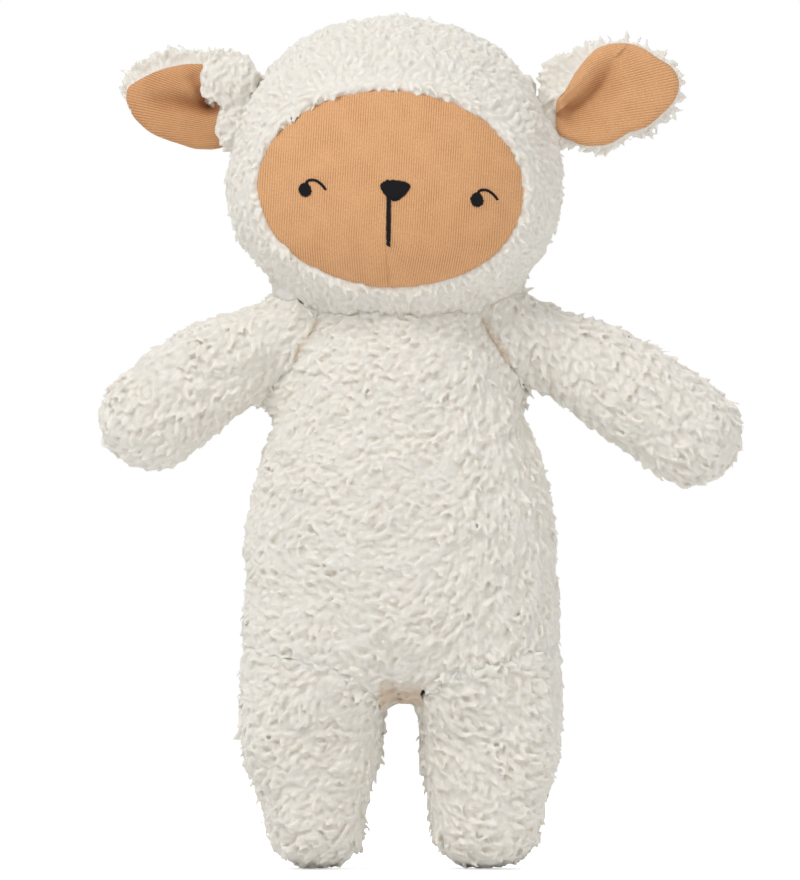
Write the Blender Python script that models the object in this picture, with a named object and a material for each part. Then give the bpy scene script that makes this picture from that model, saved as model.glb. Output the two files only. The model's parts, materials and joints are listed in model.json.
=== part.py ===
"""A plush sheep, standing and facing -Y, in metres with +Z up.

Pile covers filled with loose stuffing are sewn into a body, a head, two arms, two legs and two ears.
Left and right are the sheep's own, so its left side is at +X.
"""

import math

import bmesh
import bpy
from mathutils import Matrix, Vector

# Fabric, seams and running gaps
pile_wall = 0.005
seam_gap = 0.0004
knit_sink = 0.002
thread_height = 0.0011
sole_flat_depth = 0.0005
cut_overrun = 0.004

# The mounds that the pile's tufts stand in, on the body and the head
mound_height = 0.0028
mound_spacing = 0.0175

# Legs, from the sole up to the hip axis
hip_height = 0.066
leg_width = 0.060
leg_inset = 0.0065
left_ankle_width = 0.048
right_ankle_width = 0.0425
sole_height = 0.021
leg_toe_in = 0.0025
hip_radius = 0.031
leg_filling_width = 0.024
leg_filling_depth = 0.020

# Body, from the hip axis up to the neck pivot, and the neck that the head sits on
torso_height = 0.134
body_width = 0.132
body_depth = 0.088
crotch_drop = 0.0005
neck_width = 0.092
neck_radius = 0.035
neck_hole_width = 0.026

# Head and face
head_sink = 0.0130
head_width = 0.142
head_depth = 0.110
head_height = 0.1280
head_aside = 0.0027
head_lean = math.radians(3.3)
face_width = 0.1070
face_height = 0.0788
face_rise = 0.0541

# Arms
shoulder_rise = 0.0210
shoulder_radius = 0.0158
arm_width = 0.0445
arm_depth = 0.040
left_arm_length = 0.106
right_arm_length = 0.089
arm_filling_width = 0.0150
arm_root_slope = math.radians(26.0)
left_arm_tip_slope = math.radians(39.0)
right_arm_tip_slope = math.radians(47.0)

# Ears
ear_root_radius = 0.0058
ear_thickness = 0.0088
ear_cup = 0.0045
lining_thickness = 0.0026
lining_margin = 0.0032
left_ear_length = 0.0565
left_ear_width = 0.0455
left_ear_rise = 0.0865
left_ear_slope = math.radians(21.0)
right_ear_length = 0.0525
right_ear_width = 0.041
right_ear_rise = 0.0805
right_ear_slope = math.radians(11.5)

# Embroidery, each place measured from the middle of the face
eye_width = 0.0052
eye_height = 0.0063
left_eye_aside = 0.0351
left_eye_rise = -0.0023
right_eye_aside = 0.0344
right_eye_rise = -0.0023
lash_reach = 0.0080
lash_rise = 0.0040
lash_thread = 0.0013
lash_curl = 0.0033
lash_arch = 0.0011
lash_aside = 0.0005
nose_width = 0.0122
nose_height = 0.0088
nose_rise = 0.0002
nose_aside = 0.0024
mouth_length = 0.0180
mouth_width = 0.0020
mouth_aside = 0.0005

# How far the sewn joints give, in the direction that each name says
arm_lowers = math.radians(14.0)
arm_raises = math.radians(32.0)
leg_swings_back = math.radians(25.0)
head_nods = math.radians(15.0)

# Forms, as shares of the sizes that they follow
torso_outline_shares = (
    (0.00, 0.00, 0.00),
    (0.02, 0.66, 0.50),
    (0.08, 0.84, 0.74),
    (0.17, 0.935, 0.90),
    (0.29, 0.985, 0.98),
    (0.42, 1.00, 1.00),
    (0.57, 0.985, 0.985),
    (0.70, 0.935, 0.95),
    (0.80, 0.865, 0.91),
    (0.90, 0.775, 0.855),
)
body_power = 2.2
head_power = 2.15
head_widest_share = 0.44
head_top_power = 2.15
head_bottom_power = 2.2
face_centre_share = 0.0107
limb_power = 2.3
nose_power = 2.6
nose_taper_share = 0.62
nose_taper_power = 1.6
sole_power = 3.2
hip_inner_share = 0.76
hip_end_power = 3.2
hip_station_shares = (0.004, 0.03, 0.08, 0.17, 0.32, 0.50, 0.68, 0.83, 0.92, 0.97, 0.996)
leg_full_share = 0.78
leg_ring_power = 1.4
leg_filling_start_share = 0.08
ankle_depth_share = 0.90
arm_swell_start_share = 0.12
arm_swell_end_share = 0.42
ear_root_share = 0.70
ear_start_share = 0.90
ear_widest_share = 0.48
ear_edge_share = 0.35
ear_cup_share = 0.4
ear_power = 2.3
ear_sink_share = 0.5
lining_start_share = 1.35
arm_filling_neck_share = 0.4
arm_filling_swell_share = 0.3
shoulder_seat_share = 0.45
shoulder_depth_share = 0.80
filling_start_share = 0.72
filling_neck_share = 0.45
filling_top_share = 0.86
inner_share = 0.93

# The slants along which the mounds follow each other, and how far they stand out
mound_slants = ((0.96, 0.2, 0.2), (0.42, 0.3, 0.86), (-0.55, 0.25, 0.8), (0.1, 0.97, 0.25), (0.2, -0.75, 0.63))
mound_gain = 1.7

# The angle from which an edge is drawn sharp
sharp_edge = math.radians(50.0)

# How finely each form is drawn, in counts
body_sides = 38
head_sides = 26
head_rings = 12
hood_sides = 44
hood_rings = 21
limb_sides = 16
inner_sides = 12
inner_rings = 4
ear_sides = 12
ear_rings = 6
outline_sides = 22
opening_sides = 36
head_inner_sides = 16
head_inner_rings = 6
press_steps = 4
seat_sides = 18
seat_rings = 9
leg_levels = 9
hip_levels = 4
root_rings = 3
arm_rings = 6
tip_rings = 4
peak_steps = 101
edge_halvings = 24

pile_colour = (0.83, 0.80, 0.75, 1.0)
knit_colour = (0.67, 0.36, 0.17, 1.0)
thread_colour = (0.018, 0.018, 0.020, 1.0)
stuffing_colour = (0.90, 0.90, 0.88, 1.0)

# Places that follow from the sizes
neck_pivot = Vector((0, 0, hip_height + torso_height))
head_bottom = neck_pivot.z + neck_radius - head_sink
head_centre = Vector((-head_aside, 0, head_bottom + head_height * head_widest_share))
face_centre = Vector((-head_aside - head_width * face_centre_share, 0, head_bottom + face_rise))
body_bottom = hip_height + crotch_drop


def make_material(name, colour, roughness):
    """A cloth or thread finish, rough and without metal."""
    material = bpy.data.materials.new(name)
    material.use_nodes = True
    shader = material.node_tree.nodes["Principled BSDF"]
    shader.inputs["Base Color"].default_value = colour
    shader.inputs["Roughness"].default_value = roughness
    shader.inputs["Metallic"].default_value = 0.0
    return material


def add_object(name, mesh):
    """Put a mesh into the scene under a plain name."""
    piece = bpy.data.objects.new(name, mesh)
    bpy.context.scene.collection.objects.link(piece)
    return piece


def loft(name, rings, pole_start=None, pole_end=None):
    """A closed skin through rings of equal point counts, each end a flat face or a pole."""
    model = bmesh.new()
    loops = [[model.verts.new(point) for point in ring] for ring in rings]
    for low, high in zip(loops, loops[1:]):
        for at in range(len(low)):
            after = (at + 1) % len(low)
            model.faces.new((low[at], low[after], high[after], high[at]))
    for loop, pole, turned in ((loops[0], pole_start, True), (loops[-1], pole_end, False)):
        order = list(reversed(loop)) if turned else loop
        if pole is None:
            model.faces.new(order)
            continue
        tip = model.verts.new(pole)
        for at in range(len(order)):
            model.faces.new((order[at], order[(at + 1) % len(order)], tip))
    bmesh.ops.recalc_face_normals(model, faces=model.faces)
    mesh = bpy.data.meshes.new(name)
    model.to_mesh(mesh)
    model.free()
    return add_object(name, mesh)


def carve(piece, tool, operation="DIFFERENCE"):
    """Cut, join or keep the common part of a piece and a tool, and use the tool up."""
    change = piece.modifiers.new(operation.lower(), "BOOLEAN")
    change.operation = operation
    change.solver = "EXACT"
    change.object = tool
    bpy.context.view_layer.update()
    changed = piece.evaluated_get(bpy.context.evaluated_depsgraph_get())
    mesh = bpy.data.meshes.new_from_object(changed)
    piece.modifiers.remove(change)
    old = piece.data
    piece.data = mesh
    bpy.data.meshes.remove(old)
    bpy.data.objects.remove(tool)
    return piece


def turned(piece, angle, axis, pivot):
    """Turn a piece's mesh about an axis through a pivot."""
    turn = Matrix.Rotation(angle, 4, axis)
    piece.data.transform(Matrix.Translation(pivot) @ turn @ Matrix.Translation(-pivot))
    return piece


def finish(piece, pivot, material):
    """Give a piece its material, smooth shading and an origin on its joint."""
    piece.data.transform(Matrix.Translation(-pivot))
    piece.location = pivot
    piece.data.materials.clear()
    piece.data.materials.append(material)
    piece.data.shade_smooth()
    piece.data.set_sharp_from_angle(angle=sharp_edge)
    return piece


def power_of(base, power):
    """A signed power, for the corners of a superellipse."""
    return math.copysign(abs(base) ** power, base)


def oval(sides, half_width, half_depth, power=2.0):
    """Points of a superellipse, anticlockwise in its own plane."""
    angles = [2 * math.pi * at / sides for at in range(sides)]
    return [
        (half_width * power_of(math.cos(a), 2 / power), half_depth * power_of(math.sin(a), 2 / power))
        for a in angles
    ]


def rounding(share, power):
    """How wide a rounded end still is at a share of its way out, from 1 to 0."""
    return max(0.0, 1 - min(1.0, abs(share)) ** power) ** (1 / power)


def smooth_step(share):
    """An even S curve from 0 to 1."""
    share = min(1.0, max(0.0, share))
    return share * share * (3 - 2 * share)


def steps(count, start=0.0, end=1.0):
    """Evenly spaced values with both ends."""
    return [start + (end - start) * at / (count - 1) for at in range(count)]


def around(sides):
    """How much larger a polygon is whose flats, and not its corners, lie on the circle."""
    return 1 / math.cos(math.pi / sides)


def ellipsoid(name, centre, radii, sides, rings, outside=False):
    """A ball stretched along X, Y and Z, with its poles on X and its facets in or outside it."""
    if outside:
        radii = [radius * around(sides) * around(2 * rings + 2) for radius in radii]
    loops = []
    for angle in steps(rings + 2, math.pi, 0.0)[1:-1]:
        ring = oval(sides, radii[1] * math.sin(angle), radii[2] * math.sin(angle))
        loops.append([centre + Vector((radii[0] * math.cos(angle), y, z)) for y, z in ring])
    reach = Vector((radii[0], 0, 0))
    return loft(name, loops, centre - reach, centre + reach)


def prism(name, outline, centre, front, back):
    """An outline in the XZ plane drawn out along Y."""
    rings = [[centre + Vector((x, y, z)) for x, z in outline] for y in (front, back)]
    return loft(name, rings)


def press_dips(piece, clear_of_seams):
    """Press a pile cover in between its mounds, as far as each place is clear of its seams."""
    normals = [vertex.normal.copy() for vertex in piece.data.vertices]
    for vertex, normal in zip(piece.data.vertices, normals):
        waves = [math.cos(2 * math.pi * vertex.co.dot(Vector(slant)) / mound_spacing) for slant in mound_slants]
        fullness = max(-1.0, min(1.0, mound_gain * sum(waves) / len(waves)))
        dip = seam_gap + mound_height * (1 - fullness) / 2
        vertex.co -= normal * dip * clear_of_seams(vertex.co)
    return piece


# The body

def between_levels(shares):
    """The same outline with a level added halfway between each two."""
    levels = [shares[0]]
    for low, high in zip(shares, shares[1:]):
        levels += [tuple((a + b) / 2 for a, b in zip(low, high)), high]
    return levels


def below_neck(place):
    """How clear of the neck a place on the body is, from 0 to 1."""
    return smooth_step((neck_pivot.z - place.z) / mound_spacing)


def neck_seat(swell, sides=24, rings=11):
    """The hollow that fits the rounded top of the body, a ball stretched along X."""
    radii = (neck_width / 2 + swell, neck_radius + swell, neck_radius + swell)
    return ellipsoid("neck seat", neck_pivot, radii, sides, rings, True)


def torso_form(swell, sides=body_sides, fine=True):
    """The body's swelling and tapering outline up to its rounded neck."""
    rings = []
    height = neck_pivot.z - body_bottom + swell
    half_width, half_depth = body_width / 2 + swell, body_depth / 2 + swell
    shares = between_levels(torso_outline_shares[1:]) if fine else torso_outline_shares[1::2]
    for rise, wide, deep in shares:
        level = body_bottom - swell + height * rise
        ring = oval(sides, half_width * wide, half_depth * deep, body_power)
        rings.append([Vector((x, y, level)) for x, y in ring])
    for angle in steps(6 if fine else 4, 0.0, math.pi / 2)[:-1]:
        across = (neck_width / 2 + swell) * math.cos(angle)
        along = (neck_radius + swell) * math.cos(angle)
        level = neck_pivot.z + (neck_radius + swell) * math.sin(angle)
        rings.append([Vector((x, y, level)) for x, y in oval(sides, across, along)])
    top = Vector((0, 0, neck_pivot.z + neck_radius + swell))
    return loft("torso form", rings, Vector((0, 0, body_bottom - swell)), top)


# The legs

def leg_middle(side, level=hip_height):
    """Where a leg's middle line stands across the body, leaning in towards the sole."""
    return side * (leg_inset + leg_width / 2 - leg_toe_in * smooth_step(1 - level / hip_height))


def hip_pivot(side):
    """The point on the hip axis at the leg's middle line."""
    return Vector((leg_middle(side), 0, hip_height))


def leg_fullness(share):
    """How full the leg is at a share of its way from the inner to the outer side."""
    return hip_inner_share + (1 - hip_inner_share) * share


def hip_reach(share):
    """The hip's radius at a share of its way from the inner to the outer side."""
    return hip_radius * leg_fullness(share) * rounding(2 * share - 1, hip_end_power)


def hip_stations(side, swell):
    """Places across the hip, each with its radius."""
    inner = leg_inset - swell
    width = leg_width + 2 * swell
    return [(side * (inner + width * share), hip_reach(share) + swell) for share in hip_station_shares]


def hip_edge(height, full, empty):
    """The share across the hip, between a full and an empty one, where it is as high as this."""
    for _ in range(edge_halvings):
        middle = (full + empty) / 2
        if hip_reach(middle) > height:
            full = middle
        else:
            empty = middle
    return full


def hip_place(side, share, deep, height):
    """A point from its share across the hip, its depth and its height above the hip axis."""
    return Vector((side * (leg_inset + leg_width * share), deep, hip_height + height))


def hip_rings(side, sides):
    """Level rings of the leg's rounded top, round about the hip axis, and its highest point."""
    peak = max(steps(peak_steps), key=hip_reach)
    top = hip_reach(peak)
    rings = []
    for angle in steps(hip_levels + 2, 0.0, math.pi / 2)[1:-1]:
        height = top * math.sin(angle)
        inner, outer = hip_edge(height, peak, 0.0), hip_edge(height, peak, 1.0)
        ring = []
        for across, way in oval(sides, 1.0, 1.0, hip_end_power):
            share = inner + (outer - inner) * (side * across + 1) / 2
            deep = math.sqrt(max(0.0, hip_reach(share) ** 2 - height ** 2))
            ring.append(hip_place(side, share, math.copysign(deep, way), height))
        rings.append(ring)
    return rings, hip_place(side, peak, 0.0, top)


def hip_relief(side, swell):
    """The room that the leg sweeps under the body, from straight ahead to its back stop."""
    far = body_depth + hip_radius
    rings = []
    for x, radius in hip_stations(side, swell):
        angles = steps(6, math.pi / 2, leg_swings_back)
        outer = radius * around(math.pi / (angles[0] - angles[1]) * 2)
        arc = [(outer * math.cos(angle), outer * math.sin(angle)) for angle in angles]
        foot = (
            arc[-1][0] + far * math.sin(leg_swings_back),
            arc[-1][1] - far * math.cos(leg_swings_back),
        )
        section = [(-far, outer), *arc, foot, (-far, foot[1])]
        rings.append([Vector((x, y, hip_height + z)) for y, z in section])
    return loft("hip relief", rings)


def leg_half_sizes(side, level, swell):
    """Half the leg's width and depth at a level above the sole's lowest point."""
    grow = smooth_step((level - sole_height) / (hip_height * leg_full_share - sole_height))
    ankle_width = left_ankle_width if side > 0 else right_ankle_width
    width = ankle_width + (leg_width - ankle_width) * grow
    depth = hip_radius * (ankle_depth_share + (1 - ankle_depth_share) * grow)
    end = max(0.0, 1 - level / sole_height)
    return (
        (width / 2 + swell) * rounding(end, limb_power),
        (depth + swell) * rounding(end, sole_power),
    )


def leg_ring(side, level, wide, deep, sides, power):
    """A level ring of a leg, fuller on its outer side."""
    ring = []
    for x, y in oval(sides, wide, deep, power):
        fullness = leg_fullness((side * x / wide + 1) / 2)
        ring.append(Vector((leg_middle(side, level) + x, y * fullness, level)))
    return ring


def leg_form(side):
    """The leg from its flat sole up to its rounded hip."""
    rings = []
    for share in steps(leg_levels):
        level = max(0.0, (hip_height + sole_flat_depth) * share ** leg_ring_power - sole_flat_depth)
        wide, deep = leg_half_sizes(side, level + sole_flat_depth, 0.0)
        power = limb_power + (hip_end_power - limb_power) * smooth_step(level / hip_height)
        rings.append(leg_ring(side, level, wide, deep, limb_sides, power))
    top_rings, peak = hip_rings(side, limb_sides)
    return loft("leg form", rings + top_rings, None, peak)


def leg_filling(side, gap, top):
    """The inside of a leg: a plain limb that narrows to the seam at its top."""
    inset = -pile_wall - gap
    rings = []
    lowest = pile_wall + gap
    for share in steps(inner_rings, leg_filling_start_share, 1.0):
        level = lowest + (hip_height - lowest) * share
        wide, deep = leg_half_sizes(side, level - lowest, inset)
        rings.append(leg_ring(side, level, wide * inner_share, deep * inner_share, inner_sides, 2.0))
    wide, deep = leg_filling_width / 2 - gap, leg_filling_depth / 2 - gap
    for level in (hip_height + hip_radius * filling_neck_share, top):
        rings.append(leg_ring(side, level, wide, deep, inner_sides, 2.0))
    return loft("leg filling", rings, Vector((leg_middle(side, lowest), 0, lowest)))


def make_leg(side, label, pile, stuffing):
    """A leg's cover with its stuffing, hung on the hip axis."""
    cover = leg_form(side)
    carve(cover, leg_filling(side, 0.0, hip_height + hip_radius + cut_overrun))
    cover.name = label + "_leg_cover"
    finish(cover, hip_pivot(side), pile)
    filling = leg_filling(side, seam_gap, hip_height + hip_reach(0.5) * filling_top_share)
    filling.name = label + "_leg_stuffing"
    finish(filling, hip_pivot(side), stuffing)
    return [cover, filling]


# The arms

def shoulder_pivot(side):
    """The middle of the arm's rounded root, part of it seated in the body's side."""
    at_neck = math.sqrt(1 - (shoulder_rise / neck_radius) ** 2) * neck_width / 2
    out = at_neck + shoulder_radius * (1 - shoulder_seat_share)
    return Vector((side * out, 0, neck_pivot.z + shoulder_rise))


def shoulder_seat(side, swell, sides=seat_sides, rings=seat_rings):
    """The hollow that the arm's rounded root turns in, about the shoulder axis along Y."""
    root = shoulder_radius + swell
    deep = arm_depth / 2 * shoulder_depth_share + swell
    ball = ellipsoid("shoulder seat", Vector((0, 0, 0)), (deep, root, root), sides, rings, True)
    ball.data.transform(Matrix.Rotation(math.pi / 2, 4, "Z"))
    ball.data.transform(Matrix.Translation(shoulder_pivot(side)))
    return ball


def arm_sizes(side):
    """An arm's length and the slope of its tip."""
    if side > 0:
        return left_arm_length, left_arm_tip_slope
    return right_arm_length, right_arm_tip_slope


def arm_place(side, way):
    """The point on the arm's middle line a way out from the shoulder, and its slope there."""
    length, tip_slope = arm_sizes(side)
    bend = (tip_slope - arm_root_slope) / length
    slope = arm_root_slope + bend * way
    if way < 0:
        out, down = way * math.cos(arm_root_slope), way * math.sin(arm_root_slope)
        slope = arm_root_slope
    else:
        out = (math.sin(slope) - math.sin(arm_root_slope)) / bend
        down = (math.cos(arm_root_slope) - math.cos(slope)) / bend
    return shoulder_pivot(side) + Vector((side * out, 0, -down)), slope


def arm_ring(side, way, half_width, half_depth, sides, power=2.0):
    """A ring square to the arm's middle line."""
    centre, slope = arm_place(side, way)
    across = Vector((side * math.sin(slope), 0, math.cos(slope)))
    ring = oval(sides, half_width, half_depth, power)
    return [centre + across * u + Vector((0, v, 0)) for u, v in ring]


def arm_half_sizes(side, way, swell):
    """Half the arm's width and depth a way out from the shoulder."""
    length = arm_sizes(side)[0]
    from_way, to_way = length * arm_swell_start_share, length * arm_swell_end_share
    grow = smooth_step((way - from_way) / (to_way - from_way))
    root_depth = arm_depth * shoulder_depth_share
    width = shoulder_radius * 2 + (arm_width - shoulder_radius * 2) * grow
    depth = root_depth + (arm_depth - root_depth) * grow
    tip = max(0.0, (way - (length - arm_width / 2)) / (arm_width / 2))
    fade = rounding(tip, limb_power)
    return (width / 2 + swell) * fade, (depth / 2 + swell) * fade


def arm_form(side):
    """The arm from its rounded root to its rounded tip."""
    length = arm_sizes(side)[0]
    straight = length - arm_width / 2
    rings = []
    for angle in steps(root_rings + 2, math.pi / 2, 0.0)[1:-1]:
        wide, deep = arm_half_sizes(side, 0.0, 0.0)
        shrink = math.cos(angle)
        rings.append(arm_ring(side, -wide * math.sin(angle), wide * shrink, deep * shrink, limb_sides))
    ways = steps(arm_rings, 0.0, straight)
    for angle in steps(tip_rings + 2, 0.0, math.pi / 2)[1:-1]:
        ways.append(straight + arm_width / 2 * math.sin(angle))
    for way in ways:
        wide, deep = arm_half_sizes(side, way, 0.0)
        power = 2 + (limb_power - 2) * smooth_step(way / arm_width)
        rings.append(arm_ring(side, way, wide, deep, limb_sides, power))
    root, tip = arm_place(side, -shoulder_radius)[0], arm_place(side, length)[0]
    return loft("arm form", rings, root, tip)


def arm_filling(side, gap, start):
    """The inside of an arm, narrowed to the seam at its root."""
    length = arm_sizes(side)[0]
    neck = arm_filling_width / 2 - gap
    ways = [(start, neck, neck), (shoulder_radius * arm_filling_neck_share, neck, neck)]
    inset = -pile_wall - gap
    end = length + inset
    for way in steps(inner_rings, length * arm_filling_swell_share, end)[:-1]:
        wide, deep = arm_half_sizes(side, way * length / end, inset)
        ways.append((way, wide * inner_share, deep * inner_share))
    rings = [arm_ring(side, way, wide, deep, inner_sides) for way, wide, deep in ways]
    return loft("arm filling", rings, None, arm_place(side, end)[0])


def press_under_head(side, solid, room):
    """Press an arm in under the head, wherever the head nods and the arm is raised."""
    for nod in (-head_nods, 0.0, head_nods):
        for raised in steps(press_steps, -arm_lowers, arm_raises):
            head = turned(head_form(room), nod, "X", neck_pivot)
            carve(solid, turned(head, side * raised, "Y", shoulder_pivot(side)))
    return solid


def make_arm(side, label, pile, stuffing):
    """An arm's cover with its stuffing, hung on the shoulder axis."""
    pivot = shoulder_pivot(side)
    cover = arm_form(side)
    # Below its root the arm is pressed in where it meets the body's side once it hangs at its lowest
    torso = turned(torso_form(seam_gap), -side * arm_lowers, "Y", pivot)
    carve(cover, carve(torso, shoulder_seat(side, seam_gap / 2, 2 * seat_sides, 2 * seat_rings)))
    press_under_head(side, cover, seam_gap)
    carve(cover, arm_filling(side, 0.0, -shoulder_radius - cut_overrun))
    cover.name = label + "_arm_cover"
    finish(cover, pivot, pile)
    filling = arm_filling(side, seam_gap, -shoulder_radius * filling_start_share)
    press_under_head(side, filling, 2 * seam_gap)
    filling.name = label + "_arm_stuffing"
    finish(filling, pivot, stuffing)
    return [cover, filling]


def make_body(pile, stuffing):
    """The body's cover, dented for the arms and legs and open at the neck, with its stuffing."""
    filling = torso_form(-pile_wall, inner_sides, False)
    core = torso_form(-pile_wall - seam_gap, inner_sides, False)
    for side in (-1, 1):
        for solid, gap in ((filling, 0.0), (core, seam_gap)):
            carve(solid, hip_relief(side, pile_wall + gap))
            carve(solid, shoulder_seat(side, pile_wall + gap, 12, 5))
    cover = press_dips(torso_form(0.0), below_neck)
    carve(cover, filling)
    hole = oval(inner_sides, neck_hole_width / 2, neck_hole_width / 2)
    top = neck_pivot.z + neck_radius
    ends = (top - pile_wall - cut_overrun, top + cut_overrun)
    carve(cover, loft("neck hole", [[Vector((x, y, z)) for x, y in hole] for z in ends]))
    for side in (-1, 1):
        carve(cover, hip_relief(side, 2 * seam_gap))
        carve(cover, shoulder_seat(side, seam_gap))
    cover.name = "body_cover"
    finish(cover, Vector((0, 0, body_bottom)), pile)
    core.name = "body_stuffing"
    finish(core, Vector((0, 0, body_bottom)), stuffing)
    return [cover, core]


# The head

def head_form(swell, sides=head_sides, rings=head_rings):
    """The head's full outline, wider low down, leant to one side as it is sewn on."""
    loops = []
    top = head_height * (1 - head_widest_share) + swell
    bottom = head_height * head_widest_share + swell
    for angle in steps(rings + 2, -math.pi / 2, math.pi / 2)[1:-1]:
        height, power = (top, head_top_power) if angle > 0 else (bottom, head_bottom_power)
        rise = math.sin(angle)
        wide = rounding(rise, power)
        ring = oval(sides, (head_width / 2 + swell) * wide, (head_depth / 2 + swell) * wide, head_power)
        loops.append([head_centre + Vector((x, y, height * rise)) for x, y in ring])
    form = loft(
        "head form",
        loops,
        head_centre - Vector((0, 0, bottom)),
        head_centre + Vector((0, 0, top)),
    )
    return turned(form, head_lean, "Y", head_centre)


def on_face(aside, rise):
    """A place on the face, across and up from its middle, with the head's lean."""
    lean = Matrix.Rotation(head_lean, 3, "Y")
    return face_centre + lean @ Vector((aside, 0, rise))


def leant(outline):
    """An outline turned by the head's lean."""
    cosine, sine = math.cos(head_lean), math.sin(head_lean)
    return [(x * cosine + z * sine, z * cosine - x * sine) for x, z in outline]


def beyond_face(place):
    """How clear of the face opening a place on the head is, from 0 to 1."""
    local = Matrix.Rotation(-head_lean, 3, "Y") @ (place - face_centre)
    if local.y > 0:
        return 1.0
    reach = math.hypot(2 * local.x / face_width, 2 * local.z / face_height)
    return smooth_step((reach - 1) * face_height / 2 / mound_spacing)


def face_patch(name, outline, place, low, high):
    """A piece of an even thickness that lies on the curved face within an outline."""
    patch = head_form(high)
    front = -head_depth
    carve(patch, prism("patch outline", leant(outline), place, front, 0.0), "INTERSECT")
    carve(patch, head_form(low))
    patch.name = name
    return patch


def make_face(knit):
    """The knitted panel that fills the opening in the hood."""
    outline = oval(opening_sides, face_width / 2 - seam_gap, face_height / 2 - seam_gap)
    panel = face_patch("face_panel", outline, face_centre, -pile_wall + seam_gap, -knit_sink)
    return [finish(panel, neck_pivot, knit)]


def nose_outline():
    """A rounded triangle, flat on top, with its point down."""
    points = []
    for x, z in oval(outline_sides, nose_width / 2, nose_height / 2, nose_power):
        drop = (0.5 - z / nose_height) ** nose_taper_power
        points.append((x * (1 - nose_taper_share * drop), z))
    return points


def lash_outline():
    """A thin stitched arc that rises from the eye and curls down at its outer end."""
    upper, lower = [], []
    for share in steps(9):
        x = lash_aside + lash_reach * share
        z = lash_rise + lash_arch * 4 * share * (1 - share) - lash_curl * share ** 2
        upper.append((x, z + lash_thread / 2))
        lower.append((x, z - lash_thread / 2))
    return upper + lower[::-1]


def make_embroidery(thread):
    """The stitched eyes, lashes, nose and mouth, raised on the knit."""
    low = -knit_sink + seam_gap
    high = low + thread_height
    eye = oval(outline_sides, eye_width / 2, eye_height / 2)
    half_mouth = mouth_width / 2
    mouth = [(-half_mouth, -mouth_length), (half_mouth, -mouth_length), (half_mouth, 0), (-half_mouth, 0)]
    left_eye = on_face(left_eye_aside, left_eye_rise)
    right_eye = on_face(-right_eye_aside, right_eye_rise)
    under_nose = on_face(mouth_aside, nose_rise - nose_height / 2 - seam_gap)
    pieces = [
        face_patch("left_eye", eye, left_eye, low, high),
        face_patch("right_eye", eye, right_eye, low, high),
        face_patch("left_lash", lash_outline(), left_eye, low, high),
        face_patch("right_lash", lash_outline(), right_eye, low, high),
        face_patch("nose", nose_outline(), on_face(nose_aside, nose_rise), low, high),
        face_patch("mouth", mouth, under_nose, low, high),
    ]
    return [finish(piece, neck_pivot, thread) for piece in pieces]


def make_head(pile, stuffing):
    """The pile hood, open at the face and the neck, with its stuffing."""
    hood = press_dips(head_form(0.0, hood_sides, hood_rings), beyond_face)
    carve(hood, head_form(-pile_wall, head_inner_sides, head_inner_rings))
    face = oval(opening_sides, face_width / 2, face_height / 2)
    carve(hood, prism("face opening", leant(face), face_centre, -head_depth, 0.0))
    carve(hood, neck_seat(seam_gap))
    for side in (-1, 1):
        carve(hood, ear_root(side, seam_gap))
    hood.name = "head_cover"
    finish(hood, neck_pivot, pile)
    core = head_form(-pile_wall - seam_gap, head_inner_sides, head_inner_rings)
    carve(core, neck_seat(seam_gap, 16, 7))
    for side in (-1, 1):
        carve(core, ear_root(side, seam_gap))
    core.name = "head_stuffing"
    finish(core, neck_pivot, stuffing)
    return [hood, core]


# The ears

def ear_sizes(side):
    """An ear's length, width, height up the head and upward slope."""
    if side > 0:
        return left_ear_length, left_ear_width, left_ear_rise, left_ear_slope
    return right_ear_length, right_ear_width, right_ear_rise, right_ear_slope


def ear_pivot(side):
    """The middle of the ear's seam, just under the head's surface."""
    rise = ear_sizes(side)[2]
    above = head_bottom + rise - head_centre.z
    wide = rounding(above / (head_height * (1 - head_widest_share)), head_top_power)
    out = head_width / 2 * wide - ear_root_radius * ear_sink_share
    local = Vector((side * out, 0, above))
    return head_centre + Matrix.Rotation(head_lean, 3, "Y") @ local


def ear_axes(side):
    """The ear's outward direction and the direction of its seam."""
    slope = ear_sizes(side)[3]
    outward = Vector((side * math.cos(slope), 0, math.sin(slope)))
    along_seam = Vector((-side * math.sin(slope), 0, math.cos(slope)))
    return outward, along_seam


def ear_root(side, swell):
    """The ear's rolled root, turned about its seam."""
    width = ear_sizes(side)[1] * ear_root_share
    outward, along_seam = ear_axes(side)
    rings = []
    thickest = (ear_root_radius + swell) * (around(12) if swell else 1.0)
    for angle in steps(11, math.pi, 0.0)[1:-1]:
        radius = thickest * math.sqrt(math.sin(angle))
        centre = ear_pivot(side) + along_seam * (width / 2 + swell) * math.cos(angle)
        ring = oval(12, radius, radius)
        rings.append([centre + outward * u + Vector((0, v, 0)) for u, v in ring])
    reach = along_seam * (width / 2 + swell)
    return loft("ear root", rings, ear_pivot(side) - reach, ear_pivot(side) + reach)


def ear_section(side, way, margin):
    """Half the ear leaf's width and thickness a way out from its root, within a margin."""
    length, width, _, _ = ear_sizes(side)
    root_share = ear_root_share * ear_start_share
    grow = smooth_step(way / (length * ear_widest_share))
    wide = width / 2 * (root_share + (1 - root_share) * grow) - margin
    fade = rounding(way / (length - margin), ear_power)
    return wide * fade, ear_thickness / 2 * max(rounding(way / length, ear_power), ear_edge_share)


def ear_point(side, way, across, deep):
    """A point of the ear's cupped leaf, from its way out, its place across and its depth."""
    outward, along_seam = ear_axes(side)
    length, width, _, _ = ear_sizes(side)
    share = 2 * across / width
    cup = ear_cup * (way / length) * (ear_cup_share - share * share)
    return ear_pivot(side) + outward * way + along_seam * across + Vector((0, cup + deep, 0))


def ear_ways(start, end):
    """Places out along the ear, closer together at its rounded tip."""
    first = math.asin(start / end)
    return [end * math.sin(angle) for angle in steps(ear_rings + 1, first, math.pi / 2)[:-1]]


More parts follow.
